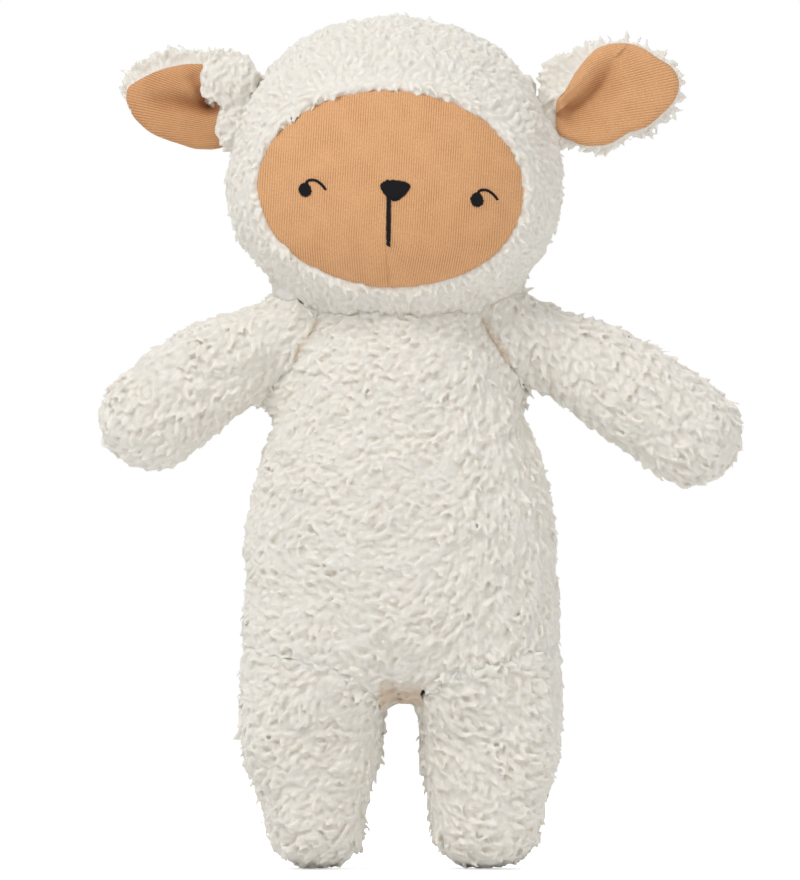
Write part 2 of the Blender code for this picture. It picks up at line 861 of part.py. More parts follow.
def ear_leaf(side):
    """The ear's pile back, a cupped leaf that thins out to its edge."""
    length = ear_sizes(side)[0]
    rings = []
    for way in ear_ways(0.0, length):
        wide, thick = ear_section(side, way, 0.0)
        ring = oval(ear_sides, wide, thick, ear_power)
        rings.append([ear_point(side, way, across, deep) for across, deep in ring])
    return loft("ear leaf", rings, None, ear_point(side, length, 0.0, 0.0))


def ear_lining(side):
    """The knitted lining, which follows the leaf's front a seam's gap away."""
    end = ear_sizes(side)[0] - lining_margin
    rings = []

    def front(way, across):
        wide, thick = ear_section(side, way, 0.0)
        return -thick * rounding(across / wide, ear_power) - seam_gap - lining_thickness / 2

    for way in ear_ways(ear_root_radius * lining_start_share, end):
        wide = ear_section(side, way, lining_margin)[0]
        ring = oval(ear_sides, wide, lining_thickness / 2, ear_power)
        rings.append([
            ear_point(side, way, across, front(way, across) + deep) for across, deep in ring
        ])
    return loft("ear lining", rings, None, ear_point(side, end, 0.0, front(end, 0.0)))


def make_ear(side, label, pile, knit):
    """An ear's pile back and knitted lining, hung on the seam at its root."""
    back = ear_leaf(side)
    carve(back, ear_root(side, 0.0), "UNION")
    back.name = label + "_ear_back"
    lining = ear_lining(side)
    lining.name = label + "_ear_lining"
    return [finish(back, ear_pivot(side), pile), finish(lining, ear_pivot(side), knit)]


def clear_scene():
    """Start from an empty scene."""
    for old in list(bpy.data.objects):
        bpy.data.objects.remove(old)


def place_on_origin(pieces):
    """Hang all pieces on one empty and put the middle of their box's underside at the origin."""
    corners = [piece.matrix_world @ vertex.co for piece in pieces for vertex in piece.data.vertices]
    low = [min(corner[axis] for corner in corners) for axis in range(3)]
    high = [max(corner[axis] for corner in corners) for axis in range(3)]
    sheep = add_object("sheep", None)
    sheep.location = (-(low[0] + high[0]) / 2, -(low[1] + high[1]) / 2, -low[2])
    for piece in pieces:
        piece.parent = sheep
    return sheep


def main():
    clear_scene()
    pile = make_material("cream_pile", pile_colour, 0.95)
    knit = make_material("caramel_knit", knit_colour, 0.9)
    thread = make_material("black_thread", thread_colour, 0.6)
    stuffing = make_material("fibre_stuffing", stuffing_colour, 1.0)
    pieces = make_body(pile, stuffing) + make_head(pile, stuffing) + make_face(knit)
    pieces += make_embroidery(thread)
    for side, label in ((1, "left"), (-1, "right")):
        pieces += make_ear(side, label, pile, knit)
        pieces += make_arm(side, label, pile, stuffing)
        pieces += make_leg(side, label, pile, stuffing)
    bpy.context.view_layer.update()
    place_on_origin(pieces)
    bpy.context.view_layer.update()


main()
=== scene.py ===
"""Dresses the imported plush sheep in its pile, its knitted face and ears and its embroidery.

Laid out as an add-on and run as a script. Metres, +Z up, the sheep faces -Y and its left is at +X.
"""

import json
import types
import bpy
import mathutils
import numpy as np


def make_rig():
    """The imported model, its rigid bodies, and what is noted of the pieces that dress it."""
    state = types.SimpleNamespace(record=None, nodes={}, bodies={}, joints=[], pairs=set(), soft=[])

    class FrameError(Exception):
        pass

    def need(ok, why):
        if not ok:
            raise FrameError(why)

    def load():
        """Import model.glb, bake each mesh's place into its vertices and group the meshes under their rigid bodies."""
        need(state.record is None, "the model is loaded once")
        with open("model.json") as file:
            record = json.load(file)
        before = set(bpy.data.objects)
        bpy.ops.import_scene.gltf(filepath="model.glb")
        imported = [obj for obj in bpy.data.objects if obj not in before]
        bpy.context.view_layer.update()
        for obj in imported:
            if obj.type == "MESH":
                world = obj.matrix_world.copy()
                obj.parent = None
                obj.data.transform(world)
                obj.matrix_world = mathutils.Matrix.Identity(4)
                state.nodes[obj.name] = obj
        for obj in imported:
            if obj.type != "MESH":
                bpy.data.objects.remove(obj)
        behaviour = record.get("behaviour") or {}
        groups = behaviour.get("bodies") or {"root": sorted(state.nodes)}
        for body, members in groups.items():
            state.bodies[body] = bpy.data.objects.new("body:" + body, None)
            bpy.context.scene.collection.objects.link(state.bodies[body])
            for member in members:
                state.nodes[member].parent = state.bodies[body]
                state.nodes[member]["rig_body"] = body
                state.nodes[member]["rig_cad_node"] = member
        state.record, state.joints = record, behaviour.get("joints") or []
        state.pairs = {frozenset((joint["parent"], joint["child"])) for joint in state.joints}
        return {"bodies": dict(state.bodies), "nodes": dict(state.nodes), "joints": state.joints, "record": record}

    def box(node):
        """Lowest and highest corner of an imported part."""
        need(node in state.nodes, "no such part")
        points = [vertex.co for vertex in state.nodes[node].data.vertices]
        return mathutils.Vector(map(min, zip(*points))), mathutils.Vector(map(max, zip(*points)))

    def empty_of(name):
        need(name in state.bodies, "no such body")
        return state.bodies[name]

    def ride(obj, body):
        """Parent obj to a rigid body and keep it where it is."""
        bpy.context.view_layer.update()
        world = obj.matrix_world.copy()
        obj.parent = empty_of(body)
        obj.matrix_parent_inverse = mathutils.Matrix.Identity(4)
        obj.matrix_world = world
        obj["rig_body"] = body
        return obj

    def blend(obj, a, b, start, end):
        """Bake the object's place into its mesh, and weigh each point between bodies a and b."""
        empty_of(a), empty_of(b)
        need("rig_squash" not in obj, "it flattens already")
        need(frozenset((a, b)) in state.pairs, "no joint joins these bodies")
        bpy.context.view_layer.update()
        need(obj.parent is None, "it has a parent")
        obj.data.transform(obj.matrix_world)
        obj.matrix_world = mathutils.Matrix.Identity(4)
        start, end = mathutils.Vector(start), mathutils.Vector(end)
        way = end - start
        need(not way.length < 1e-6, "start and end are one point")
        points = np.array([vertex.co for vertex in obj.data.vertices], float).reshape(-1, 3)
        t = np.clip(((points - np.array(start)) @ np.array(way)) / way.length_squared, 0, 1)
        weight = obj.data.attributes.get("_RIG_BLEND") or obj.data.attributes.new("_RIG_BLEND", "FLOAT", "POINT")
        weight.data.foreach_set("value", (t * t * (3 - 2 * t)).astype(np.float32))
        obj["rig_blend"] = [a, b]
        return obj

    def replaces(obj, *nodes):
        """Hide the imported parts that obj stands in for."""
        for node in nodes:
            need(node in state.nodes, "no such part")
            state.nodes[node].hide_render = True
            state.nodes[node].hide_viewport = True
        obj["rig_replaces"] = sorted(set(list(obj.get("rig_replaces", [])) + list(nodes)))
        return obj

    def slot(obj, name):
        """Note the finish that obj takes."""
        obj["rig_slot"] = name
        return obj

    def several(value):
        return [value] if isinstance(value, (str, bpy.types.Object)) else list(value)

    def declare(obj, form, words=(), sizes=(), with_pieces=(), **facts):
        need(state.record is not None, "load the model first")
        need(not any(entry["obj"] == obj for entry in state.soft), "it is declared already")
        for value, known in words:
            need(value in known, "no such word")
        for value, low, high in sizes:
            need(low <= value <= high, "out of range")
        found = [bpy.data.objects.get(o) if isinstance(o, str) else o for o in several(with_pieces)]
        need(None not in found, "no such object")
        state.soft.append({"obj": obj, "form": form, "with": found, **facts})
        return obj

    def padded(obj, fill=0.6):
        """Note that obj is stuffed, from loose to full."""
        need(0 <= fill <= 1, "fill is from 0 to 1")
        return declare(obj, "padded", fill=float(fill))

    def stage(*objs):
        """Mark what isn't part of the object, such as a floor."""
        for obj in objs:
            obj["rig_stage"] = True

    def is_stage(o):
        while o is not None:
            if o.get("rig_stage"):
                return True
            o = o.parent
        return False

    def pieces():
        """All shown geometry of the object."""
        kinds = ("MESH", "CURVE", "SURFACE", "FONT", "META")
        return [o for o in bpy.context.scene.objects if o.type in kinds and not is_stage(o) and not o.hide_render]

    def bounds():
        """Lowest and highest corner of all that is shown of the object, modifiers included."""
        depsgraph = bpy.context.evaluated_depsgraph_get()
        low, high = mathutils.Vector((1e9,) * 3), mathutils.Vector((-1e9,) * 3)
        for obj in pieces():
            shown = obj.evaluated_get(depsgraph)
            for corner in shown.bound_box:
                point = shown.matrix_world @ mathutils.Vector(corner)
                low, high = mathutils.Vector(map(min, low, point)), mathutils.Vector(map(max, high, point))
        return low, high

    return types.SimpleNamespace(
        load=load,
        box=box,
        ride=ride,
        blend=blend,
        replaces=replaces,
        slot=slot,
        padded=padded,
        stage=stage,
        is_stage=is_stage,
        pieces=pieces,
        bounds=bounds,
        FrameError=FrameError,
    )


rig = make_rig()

bl_info = {
    "name": "Plush sheep dressing",
    "version": (1, 0, 0),
    "blender": (4, 5, 0),
    "location": "3D View > Sidebar > Sheep",
    "description": "Dresses a packed plush sheep in pile fabric, ribbed jersey and embroidery",
    "category": "Object",
}

import json
import math

import bmesh
import bpy
import numpy as np
from bpy.props import FloatProperty, IntProperty, PointerProperty
from mathutils import Matrix, Vector
from mathutils.bvhtree import BVHTree

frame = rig.load()
cad_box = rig.bounds()
joints = {joint["name"]: joint for joint in frame["joints"]}

# The face opening, as the part's source has it
head_lean = math.radians(3.3)
face_width = 0.1070
face_height = 0.0788
face_low, face_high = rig.box("face_panel")
face_middle = (face_low + face_high) / 2
# Round it the pile's cloth rises to a small depth, and inside it dives again
rim_depth = 0.0011
rim_reach = 0.0012
rim_fade = 0.008
rim_dive = 0.0022

# Seams: the outline closes grooves of this half width, parts press into each other, and each runs on
# under its neighbour, with a crease along the seam
seam_closing = 0.004
seam_press = 0.0004
seam_crease = 0.0006
seam_overlap = 0.003
# How far the outline may lie off a part's solid, and how far its slab reaches into it
seam_reach = 0.03
slab_root = 0.004
# Within this distance of a seam painted shade darkens the pile, and within twice it pile that lies hidden grows shorter
seam_band = 0.003
outline_reach = 0.02

# The cloth of a leg stays with the torso at its seam and turns with the leg from a little below it
hip_seams = {
    "left_leg": ((0.0247, 0, 0.0915), (0.0358, 0, 0.0636)),
    "right_leg": ((-0.045, 0, 0.086), (-0.0561, 0, 0.0581)),
}
# The levels between which the pile bridges each hip, on the torso and on the leg
hip_levels = {"torso": (0.096, 0.118), "leg": (0.050, 0.082)}
hip_aside = 0.005
sheep_middle = -0.0085
crotch_level = 0.078
crotch_half = 0.008
# How strong the painted shade in the crotch is
crotch_shade = 0.7
leg_overlap_from = 0.0085

# Parts of the body with the CAD nodes that each one's cloth replaces
body_parts = {
    "torso": ("body", ("body_cover", "body_stuffing")),
    "head": ("head", ("head_cover", "head_stuffing")),
    "left_arm": ("left_arm", ("left_arm_cover", "left_arm_stuffing")),
    "right_arm": ("right_arm", ("right_arm_cover", "right_arm_stuffing")),
    "left_leg": ("left_leg", ("left_leg_cover", "left_leg_stuffing")),
    "right_leg": ("right_leg", ("right_leg_cover", "right_leg_stuffing")),
    "left_ear": ("left_ear", ("left_ear_back",)),
    "right_ear": ("right_ear", ("right_ear_back",)),
}
stuffed_parts = [part for part in body_parts if not part.endswith("ear")]
outline = {}
solids = {}


class PileSettings(bpy.types.PropertyGroup):
    """The curled pile that covers the body, head and limbs."""
    spacing: FloatProperty(
        name="Spacing", description="Least distance between the roots of tufts", default=0.0023, unit="LENGTH")
    length: FloatProperty(name="Length", description="Length of a tuft", default=0.0078, unit="LENGTH")
    width: FloatProperty(name="Width", description="Width of a tuft at its fullest", default=0.0024, unit="LENGTH")
    spike_spacing: FloatProperty(
        name="Spike spacing", description="Least distance between the roots of pointed tufts", default=0.0050,
        unit="LENGTH")
    spike_length: FloatProperty(
        name="Spike length", description="Length of a pointed tuft", default=0.0084, unit="LENGTH")
    spike_width: FloatProperty(name="Spike width", description="Width of a pointed tuft", default=0.0018, unit="LENGTH")
    depth: FloatProperty(
        name="Depth", description="How far the cloth lies under the tips", default=0.0020, unit="LENGTH")
    felting: FloatProperty(
        name="Felting", description="Size below which tufts run into each other", default=0.00065, unit="LENGTH")
    lift: FloatProperty(
        name="Lift", description="How much steeper some locks stand", default=math.radians(9), subtype="ANGLE")
    swirl: FloatProperty(
        name="Swirl", description="How far the lay of the pile wanders", default=math.radians(48), subtype="ANGLE")
    swirl_size: FloatProperty(
        name="Swirl size", description="Distance over which the lay wanders", default=0.026, unit="LENGTH")
    seed: IntProperty(name="Seed", description="Picks another growth of the pile", default=7)


class KnitSettings(bpy.types.PropertyGroup):
    """The ribbed jersey of the face and the ear linings."""
    wale: FloatProperty(name="Rib spacing", description="Distance from rib to rib", default=0.00098, unit="LENGTH")
    rib: FloatProperty(name="Rib height", description="Height of a rib over its groove", default=0.00022, unit="LENGTH")
    thickness: FloatProperty(
        name="Thickness", description="Thickness of the jersey with its backing", default=0.0012, unit="LENGTH")


class ThreadSettings(bpy.types.PropertyGroup):
    """The black satin stitches of the eyes, lashes, nose and mouth."""
    diameter: FloatProperty(
        name="Thread", description="Diameter of the embroidery thread", default=0.00048, unit="LENGTH")
    pitch: FloatProperty(name="Pitch", description="Distance from stitch to stitch", default=0.00036, unit="LENGTH")
    seed: IntProperty(name="Seed", description="Picks another unevenness of the stitches", default=3)


class StageSettings(bpy.types.PropertyGroup):
    """The camera, the lamps and the floor."""
    distance: FloatProperty(name="Distance", description="From the camera to the sheep", default=8.0, unit="LENGTH")
    view_height: FloatProperty(
        name="View height", description="What the picture shows from bottom to top", default=0.3582, unit="LENGTH")
    key: FloatProperty(
        name="Key lamp", description="Power of the lamp on the upper left", default=20.2, unit="POWER")
    fill: FloatProperty(name="Fill lamp", description="Power of the lamp on the right", default=5.0, unit="POWER")
    ambient: FloatProperty(name="Ambient", description="Strength of the light from all round", default=0.57)


# Nodes

MATH, VECTOR, MIX, NOISE, RANGE, ATTRIBUTE, BUMP, COORDS, UV = ("ShaderNode" + kind for kind in (
    "Math", "VectorMath", "Mix", "TexNoise", "MapRange", "Attribute", "Bump", "TexCoord", "UVMap"))
NAMED, OBJECT, RANDOM, ALIGN = (
    "GeometryNodeInputNamedAttribute", "GeometryNodeObjectInfo", "FunctionNodeRandomValue",
    "FunctionNodeAlignRotationToVector")


def linear(code):
    """A colour's linear values from its sRGB hex code."""
    values = [int(code[at:at + 2], 16) / 255 for at in (1, 3, 5)]
    return [v / 12.92 if v <= 0.04045 else ((v + 0.055) / 1.055) ** 2.4 for v in values] + [1.0]


def out(node, name=None):
    """A node's output by name, or its first one that is in use."""
    return next(s for s in node.outputs if s.enabled and (name is None or s.name == name))


def set_inputs(tree, node, inputs):
    """Set a node's inputs by their names or numbers, or link them to sockets or to nodes' first outputs."""
    for key, value in inputs.items():
        if isinstance(key, int):
            socket = node.inputs[key]
        else:
            socket = next(s for s in node.inputs if s.name == key and s.enabled)
        if isinstance(value, bpy.types.Node):
            value = out(value)
        if isinstance(value, bpy.types.NodeSocket):
            tree.links.new(value, socket)
        else:
            socket.default_value = value


def add_node(tree, kind, inputs=None, **settings):
    """Add a node with its settings and its inputs."""
    node = tree.nodes.new(kind)
    for name, value in settings.items():
        setattr(node, name, value)
    set_inputs(tree, node, inputs or {})
    return node


def seen_straight(tree):
    """A node that is 1 for what the camera sees, also in gloss and through glass."""
    path = add_node(tree, "ShaderNodeLightPath")
    seen = add_node(tree, MATH, {0: out(path, "Is Camera Ray"), 1: out(path, "Is Glossy Ray")}, operation="MAXIMUM")
    return add_node(tree, MATH, {0: seen, 1: out(path, "Is Transmission Ray")}, operation="MAXIMUM")


def node_group(name, inputs, output):
    """A Geometry Nodes tree with named inputs, and the node that gives them."""
    tree = bpy.data.node_groups.new(name, "GeometryNodeTree")
    for label, kind, value in inputs:
        socket = tree.interface.new_socket(name=label, in_out="INPUT", socket_type="NodeSocket" + kind)
        if value is not None:
            socket.default_value = value
    tree.interface.new_socket(name=output, in_out="OUTPUT", socket_type="NodeSocketGeometry")
    return tree, add_node(tree, "NodeGroupInput")


def evaluated_mesh(piece):
    """The plain mesh that a piece's modifiers make."""
    bpy.context.view_layer.update()
    return bpy.data.meshes.new_from_object(piece.evaluated_get(bpy.context.evaluated_depsgraph_get()))


def through_nodes(mesh, tree, values):
    """The plain mesh that a Geometry Nodes tree makes of a mesh, with its inputs set by their identifiers."""
    sockets = {item.name: item.identifier for item in tree.interface.items_tree if item.in_out == "INPUT"}
    host = bpy.data.objects.new("host", mesh)
    bpy.context.scene.collection.objects.link(host)
    modifier = host.modifiers.new("nodes", "NODES")
    modifier.node_group = tree
    for name, value in values.items():
        modifier[sockets[name]] = value
    result = evaluated_mesh(host)
    bpy.data.objects.remove(host)
    bpy.data.node_groups.remove(tree)
    return result


# Materials

def new_material(name):
    """An empty material with its node tree and its shader."""
    material = bpy.data.materials.new(name)
    material.use_nodes = True
    return material, material.node_tree, material.node_tree.nodes["Principled BSDF"]


def material_of(name, make):
    """The material of this name, made the first time that it is asked for."""
    return bpy.data.materials.get(name) or make(name)


def sherpa_pile_material(name):
    """Brushed polyester sherpa: dull and soft, near white on the tufts, with a warm painted shade down in the creases.
    """
    material, tree, shader = new_material(name)
    coords = add_node(tree, COORDS)
    height = add_node(tree, ATTRIBUTE, attribute_name="height")
    # The height attribute is in millimetres over the smoothed fleece
    rise = add_node(tree, RANGE, {"Value": out(height, "Fac"), "From Min": -0.9, "From Max": 0.15},
                    interpolation_type="SMOOTHSTEP")
    drift = add_node(tree, NOISE, {"Vector": out(coords, "Object"), "Scale": 60.0, "Detail": 3.0})
    tint = add_node(tree, MIX, {0: out(drift, "Fac"), 6: linear("#DDD8CD"), 7: linear("#E5E2DA")}, data_type="RGBA")
    # Strands half a millimetre apart, as fine as the picture shows, run along each tuft
    across = add_node(tree, ATTRIBUTE, attribute_name="across")
    aside = add_node(tree, VECTOR, {0: out(coords, "Object"), 1: out(across, "Vector")}, operation="DOT_PRODUCT")
    slow = add_node(tree, VECTOR, {0: out(coords, "Object"), "Scale": 260.0}, operation="SCALE")
    turns = add_node(tree, MATH, {0: aside, 1: 2000.0}, operation="MULTIPLY")
    fast = add_node(tree, VECTOR, {0: out(across, "Vector"), "Scale": turns}, operation="SCALE")
    along = add_node(tree, VECTOR, {0: slow, 1: fast}, operation="ADD")
    strands = add_node(tree, NOISE, {"Vector": along, "Scale": 1.0, "Detail": 2.0})
    # Painted highlights and shade: lighter and darker streaks along the strands stand in for the light on the fibres
    strand_highlight = add_node(tree, RANGE, {"Value": out(strands, "Fac"), "From Min": 0.35, "From Max": 0.65})
    strand = add_node(tree, MIX, {0: strand_highlight, 6: tint, 7: linear("#ECE9E2")}, data_type="RGBA")
    # Painted shade: down in the creases between tufts the pile turns a warm beige
    body = add_node(tree, MIX, {0: rise, 6: linear("#DDD2C3"), 7: strand}, data_type="RGBA")
    # Painted shade: along the seams and in the crotch the pile turns a darker tan
    seam = add_node(tree, ATTRIBUTE, attribute_name="seam")
    seam_shaded = add_node(tree, MIX, {0: out(seam, "Fac"), 6: body, 7: linear("#C9B298")}, data_type="RGBA")
    bump = add_node(tree, BUMP, {"Height": out(strands, "Fac"), "Strength": 0.5, "Distance": 0.0005})
    # Light spreads a couple of millimetres among the fibres
    set_inputs(tree, shader, {
        "Base Color": seam_shaded, "Normal": bump, "Roughness": 0.9, "Specular IOR Level": 0.2,
        "Subsurface Weight": 0.5, "Subsurface Radius": (1.0, 0.85, 0.7), "Subsurface Scale": 0.0020})
    return material


def rib_jersey_material(name):
    """Fine cotton rib jersey: matt, with painted shade in the grooves between ribs and slightly mottled yarn."""
    material, tree, shader = new_material(name)
    uv = add_node(tree, UV, uv_map="UVMap")
    place = add_node(tree, "ShaderNodeSeparateXYZ", {"Vector": uv})
    # The UV map counts ribs across and millimetres along, so one rib is one unit wide
    turn = add_node(tree, MATH, {0: out(place, "X"), 1: 2 * math.pi}, operation="MULTIPLY")
    wave = add_node(tree, MATH, {0: turn}, operation="COSINE")
    # Painted shade in the grooves between ribs, stronger in some broad patches than in others
    groove = add_node(tree, RANGE, {"Value": wave, "From Min": 0.1, "From Max": 1.0})
    stretched = add_node(tree, VECTOR, {0: uv, 1: (1.5, 1.1, 1.0)}, operation="MULTIPLY")
    mottle = add_node(tree, NOISE, {"Vector": stretched, "Scale": 1.0, "Detail": 4.0, "Roughness": 0.75})
    broad = add_node(tree, NOISE, {"Vector": uv, "Scale": 0.09, "Detail": 2.0})
    strength = add_node(tree, RANGE, {
        "Value": out(broad, "Fac"), "From Min": 0.35, "From Max": 0.65, "To Min": 0.3, "To Max": 0.75})
    dark = add_node(tree, MATH, {0: groove, 1: strength}, operation="MULTIPLY")
    # Painted shade: the jersey darkens by this attribute, which is none on the face, more in the dents of the ears and
    # most on the sheep's right ear
    slack = add_node(tree, ATTRIBUTE, attribute_name="slack")
    dark = add_node(tree, MATH, {0: dark, 1: out(slack, "Fac")}, operation="ADD", use_clamp=True)
    yarn = add_node(tree, MIX, {0: out(mottle, "Fac"), 6: linear("#B37846"), 7: linear("#F8C796")}, data_type="RGBA")
    shaded = add_node(tree, MIX, {0: dark, 6: yarn, 7: linear("#9C653C")}, data_type="RGBA")
    # The loops of a rib lie about 0.8 mm apart, too fine to show but for a slight tooth
    rise = add_node(tree, MATH, {0: out(place, "Y"), 1: 2 * math.pi / 0.8}, operation="MULTIPLY")
    loops = add_node(tree, MATH, {0: rise}, operation="SINE")
    tooth = add_node(tree, MATH, {0: loops, 1: 0.25, 2: out(mottle, "Fac")}, operation="MULTIPLY_ADD")
    bump = add_node(tree, BUMP, {"Height": tooth, "Strength": 0.35, "Distance": 0.0002})
    set_inputs(tree, shader, {
        "Base Color": shaded, "Normal": bump, "Roughness": 0.85, "Specular IOR Level": 0.3, "Sheen Weight": 0.08})
    return material


def rayon_thread_material(name):
    """Black rayon embroidery thread: soft black with a dim gloss along each stitch."""
    material, tree, shader = new_material(name)
    uv = add_node(tree, UV, uv_map="UVMap")
    twist = add_node(tree, VECTOR, {0: uv, 1: (3.0, 9.0, 1.0)}, operation="MULTIPLY")
    strands = add_node(tree, NOISE, {"Vector": twist, "Scale": 1.5, "Detail": 2.0})
    colour = add_node(tree, MIX, {0: out(strands, "Fac"), 6: linear("#0A0A0D"), 7: linear("#18181C")}, data_type="RGBA")
    bump = add_node(tree, BUMP, {"Height": out(strands, "Fac"), "Strength": 0.3, "Distance": 0.0001})
    set_inputs(tree, shader, {"Base Color": colour, "Normal": bump, "Roughness": 0.6, "Specular IOR Level": 0.15})
    return material


def paper_backdrop_material(name):
    """Seamless white studio paper, which the camera sees as white and which keeps a soft shadow."""
    material, tree, shader = new_material(name)
    coords = add_node(tree, COORDS)
    grain = add_node(tree, NOISE, {"Vector": out(coords, "Object"), "Scale": 400.0})
    tint = add_node(tree, MIX, {0: out(grain, "Fac"), 6: linear("#F4F4F4"), 7: linear("#FAFAFA")}, data_type="RGBA")
    glow = add_node(tree, MATH, {0: seen_straight(tree), 1: 0.45}, operation="MULTIPLY")
    set_inputs(tree, shader, {
        "Base Color": tint, "Roughness": 0.9, "Emission Color": (1, 1, 1, 1), "Emission Strength": glow})
    return material


# Meshes

def add_piece(name, mesh, material):
    """Put a finished mesh into the scene as a piece at the origin."""
    piece = bpy.data.objects.new(name, mesh)
    bpy.context.scene.collection.objects.link(piece)
    mesh.materials.clear()
    mesh.materials.append(material)
    mesh.shade_smooth()
    return piece


def mesh_from(name, points, faces, uvs=None):
    """A mesh from points and faces, with a UV for each point."""
    mesh = bpy.data.meshes.new(name)
    mesh.from_pydata([tuple(p) for p in points], [], faces)
    if uvs is not None:
        layer = mesh.uv_layers.new(name="UVMap")
        corners = np.empty(len(mesh.loops), int)
        mesh.loops.foreach_get("vertex_index", corners)
        layer.data.foreach_set("uv", np.asarray(uvs, np.float32)[corners].ravel())
    mesh.update()
    return mesh


def remade(meshes, change=None, into=None):
    """One mesh of several after a change to their bmesh, put into a new mesh or a given one."""
    model = bmesh.new()
    for mesh in meshes:
        model.from_mesh(mesh)
    if change:
        change(model)
    if into is None:
        into = bpy.data.meshes.new("remade")
    model.to_mesh(into)
    model.free()
    return into


def outward_faces(mesh):
    """Turn a closed mesh's faces outwards."""
    remade([mesh], lambda model: bmesh.ops.recalc_face_normals(model, faces=model.faces), mesh)


def points_of(mesh):
    """A mesh's points as rows."""
    points = np.empty(len(mesh.vertices) * 3)
    mesh.vertices.foreach_get("co", points)
    return points.reshape(-1, 3)


def normals_of(mesh):
    """A mesh's point normals as rows."""
    normals = np.empty(len(mesh.vertices) * 3, np.float32)
    mesh.vertex_normals.foreach_get("vector", normals)
    return normals.reshape(-1, 3).astype(float)


def set_points(mesh, points):
    """Move a mesh's points."""
    mesh.vertices.foreach_set("co", np.asarray(points, np.float32).ravel())
    mesh.update()


def store(mesh, name, values, kind="FLOAT"):
    """Store a value or a vector for each point of a mesh."""
    attribute = mesh.attributes.new(name, kind, "POINT")
    attribute.data.foreach_set("vector" if kind == "FLOAT_VECTOR" else "value", np.asarray(values, np.float32).ravel())


def relax(mesh, rounds):
    """Even a mesh out by moving each point halfway to the middle of its neighbours."""
    edges = np.empty(len(mesh.edges) * 2, int)
    mesh.edges.foreach_get("vertices", edges)
    first, second = edges[0::2], edges[1::2]
    points = points_of(mesh)
    count = np.bincount(np.concatenate((first, second)), minlength=len(points))[:, None]
    for _ in range(rounds):
        total = np.zeros_like(points)
        np.add.at(total, first, points[second])
        np.add.at(total, second, points[first])
        points = points / 2 + total / count / 2
    set_points(mesh, points)


def voxel_skin(mesh, voxel, rounds):
    """The outer skin of a mesh, remeshed to even faces and relaxed."""
    host = bpy.data.objects.new("skin", mesh)
    bpy.context.scene.collection.objects.link(host)
    remesh = host.modifiers.new("skin", "REMESH")
    remesh.mode = "VOXEL"
    remesh.voxel_size = voxel
    skin = evaluated_mesh(host)
    bpy.data.objects.remove(host)
    relax(skin, rounds)
    return skin


def search_tree(mesh):
    """A tree to find a mesh's nearest point or where a ray meets it."""
    return BVHTree.FromPolygons([v.co for v in mesh.vertices], [p.vertices for p in mesh.polygons])


def front_hit(tree, x, z):
    """Where a ray from the front meets a mesh at a place across and up, or None."""
    return tree.ray_cast(Vector((x, -0.3, z)), Vector((0, 1, 0)))[0]


def front_fit(node, places, terms):
    """Weights of the terms of a smooth function for the front of a CAD node.

    Each place is two values as the terms take them, and the place across and up.
    """
    tree = search_tree(frame["nodes"][node].data)
    found = [(u, v, hit.y) for u, v, x, z in places for hit in [front_hit(tree, x, z)] if hit is not None]
    u, v, depths = np.array(found).T
    return np.linalg.lstsq(terms(u, v), depths, rcond=None)[0]


def side_of(name):
    """1 for the sheep's left, which is at +X, and -1 for its right."""
    return 1 if name.startswith("left") else -1


# The outline and the parts' shares of it

def solid_copy(nodes):
    """The CAD nodes joined into one mesh with their doubled corners merged."""
    def merge(model):
        bmesh.ops.remove_doubles(model, verts=model.verts, dist=1e-6)

    return remade([frame["nodes"][node].data for node in nodes], merge)


def gap_to(points, part, far):
    """Each point's distance to a stuffed part's solid, no more than far."""
    if part not in solids:
        mesh = solid_copy(body_parts[part][1])
        places = points_of(mesh)
        solids[part] = search_tree(mesh), places.min(0), places.max(0)
    tree, low, high = solids[part]
    gaps = np.full(len(points), far)
    for at in np.flatnonzero(np.all((points > low - far) & (points < high + far), axis=1)):
        found = tree.find_nearest(Vector(points[at]), far)
        if found[0] is not None:
            gaps[at] = found[3]
    return gaps


def closeness(points, part, far=0.01):
    """Each point's distance to the nearest stuffed part of another body, no more than far."""
    return np.min([gap_to(points, other, far) for other in stuffed_parts if other != part], axis=0)


def hip_bridge(leg):
    """A hull that fills the groove between the torso and a leg, from swell to swell."""
    middle = (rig.box("left_leg_cover")[0].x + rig.box("right_leg_cover")[1].x) / 2

    def fill(model):
        for part, (low, high) in (("torso", hip_levels["torso"]), (leg, hip_levels["leg"])):
            for x, y, z in points_of(solid_copy(body_parts[part][1][:1])):
                if low < z < high and (x - middle) * side_of(leg) > hip_aside:
                    model.verts.new((x, y, z))
        bmesh.ops.convex_hull(model, input=model.verts)
        bmesh.ops.delete(model, geom=[v for v in model.verts if not v.link_faces], context="VERTS")

    return remade([], fill)


def whole_outline():
    """The sheep's outline at rest with its seams filled, as a tree to measure depths under it."""
    if "tree" not in outline:
        nodes = [node for part in stuffed_parts for node in body_parts[part][1]]
        skin = voxel_skin(remade([solid_copy(nodes), hip_bridge("left_leg"), hip_bridge("right_leg")]), 0.0025, 2)
        # The skin grows until the grooves at the seams close, and then shrinks back
        set_points(skin, points_of(skin) + normals_of(skin) * seam_closing)
        skin = voxel_skin(skin, 0.002, 1)
        set_points(skin, points_of(skin) - normals_of(skin) * seam_closing)
        relax(skin, 3)
        outline.update(skin=skin, tree=search_tree(skin))
    return outline["tree"]


def under_outline(points):
    """How deep each point lies under the sheep's outline, and which way is out."""
    whole = whole_outline()
    depths, outs = np.full(len(points), outline_reach), np.zeros_like(points)
    for at, point in enumerate(points):
        near, normal, _, _ = whole.find_nearest(Vector(point), outline_reach)
        if near is not None:
            depths[at] = (near - Vector(point)).dot(normal)
            outs[at] = normal
    return depths, outs


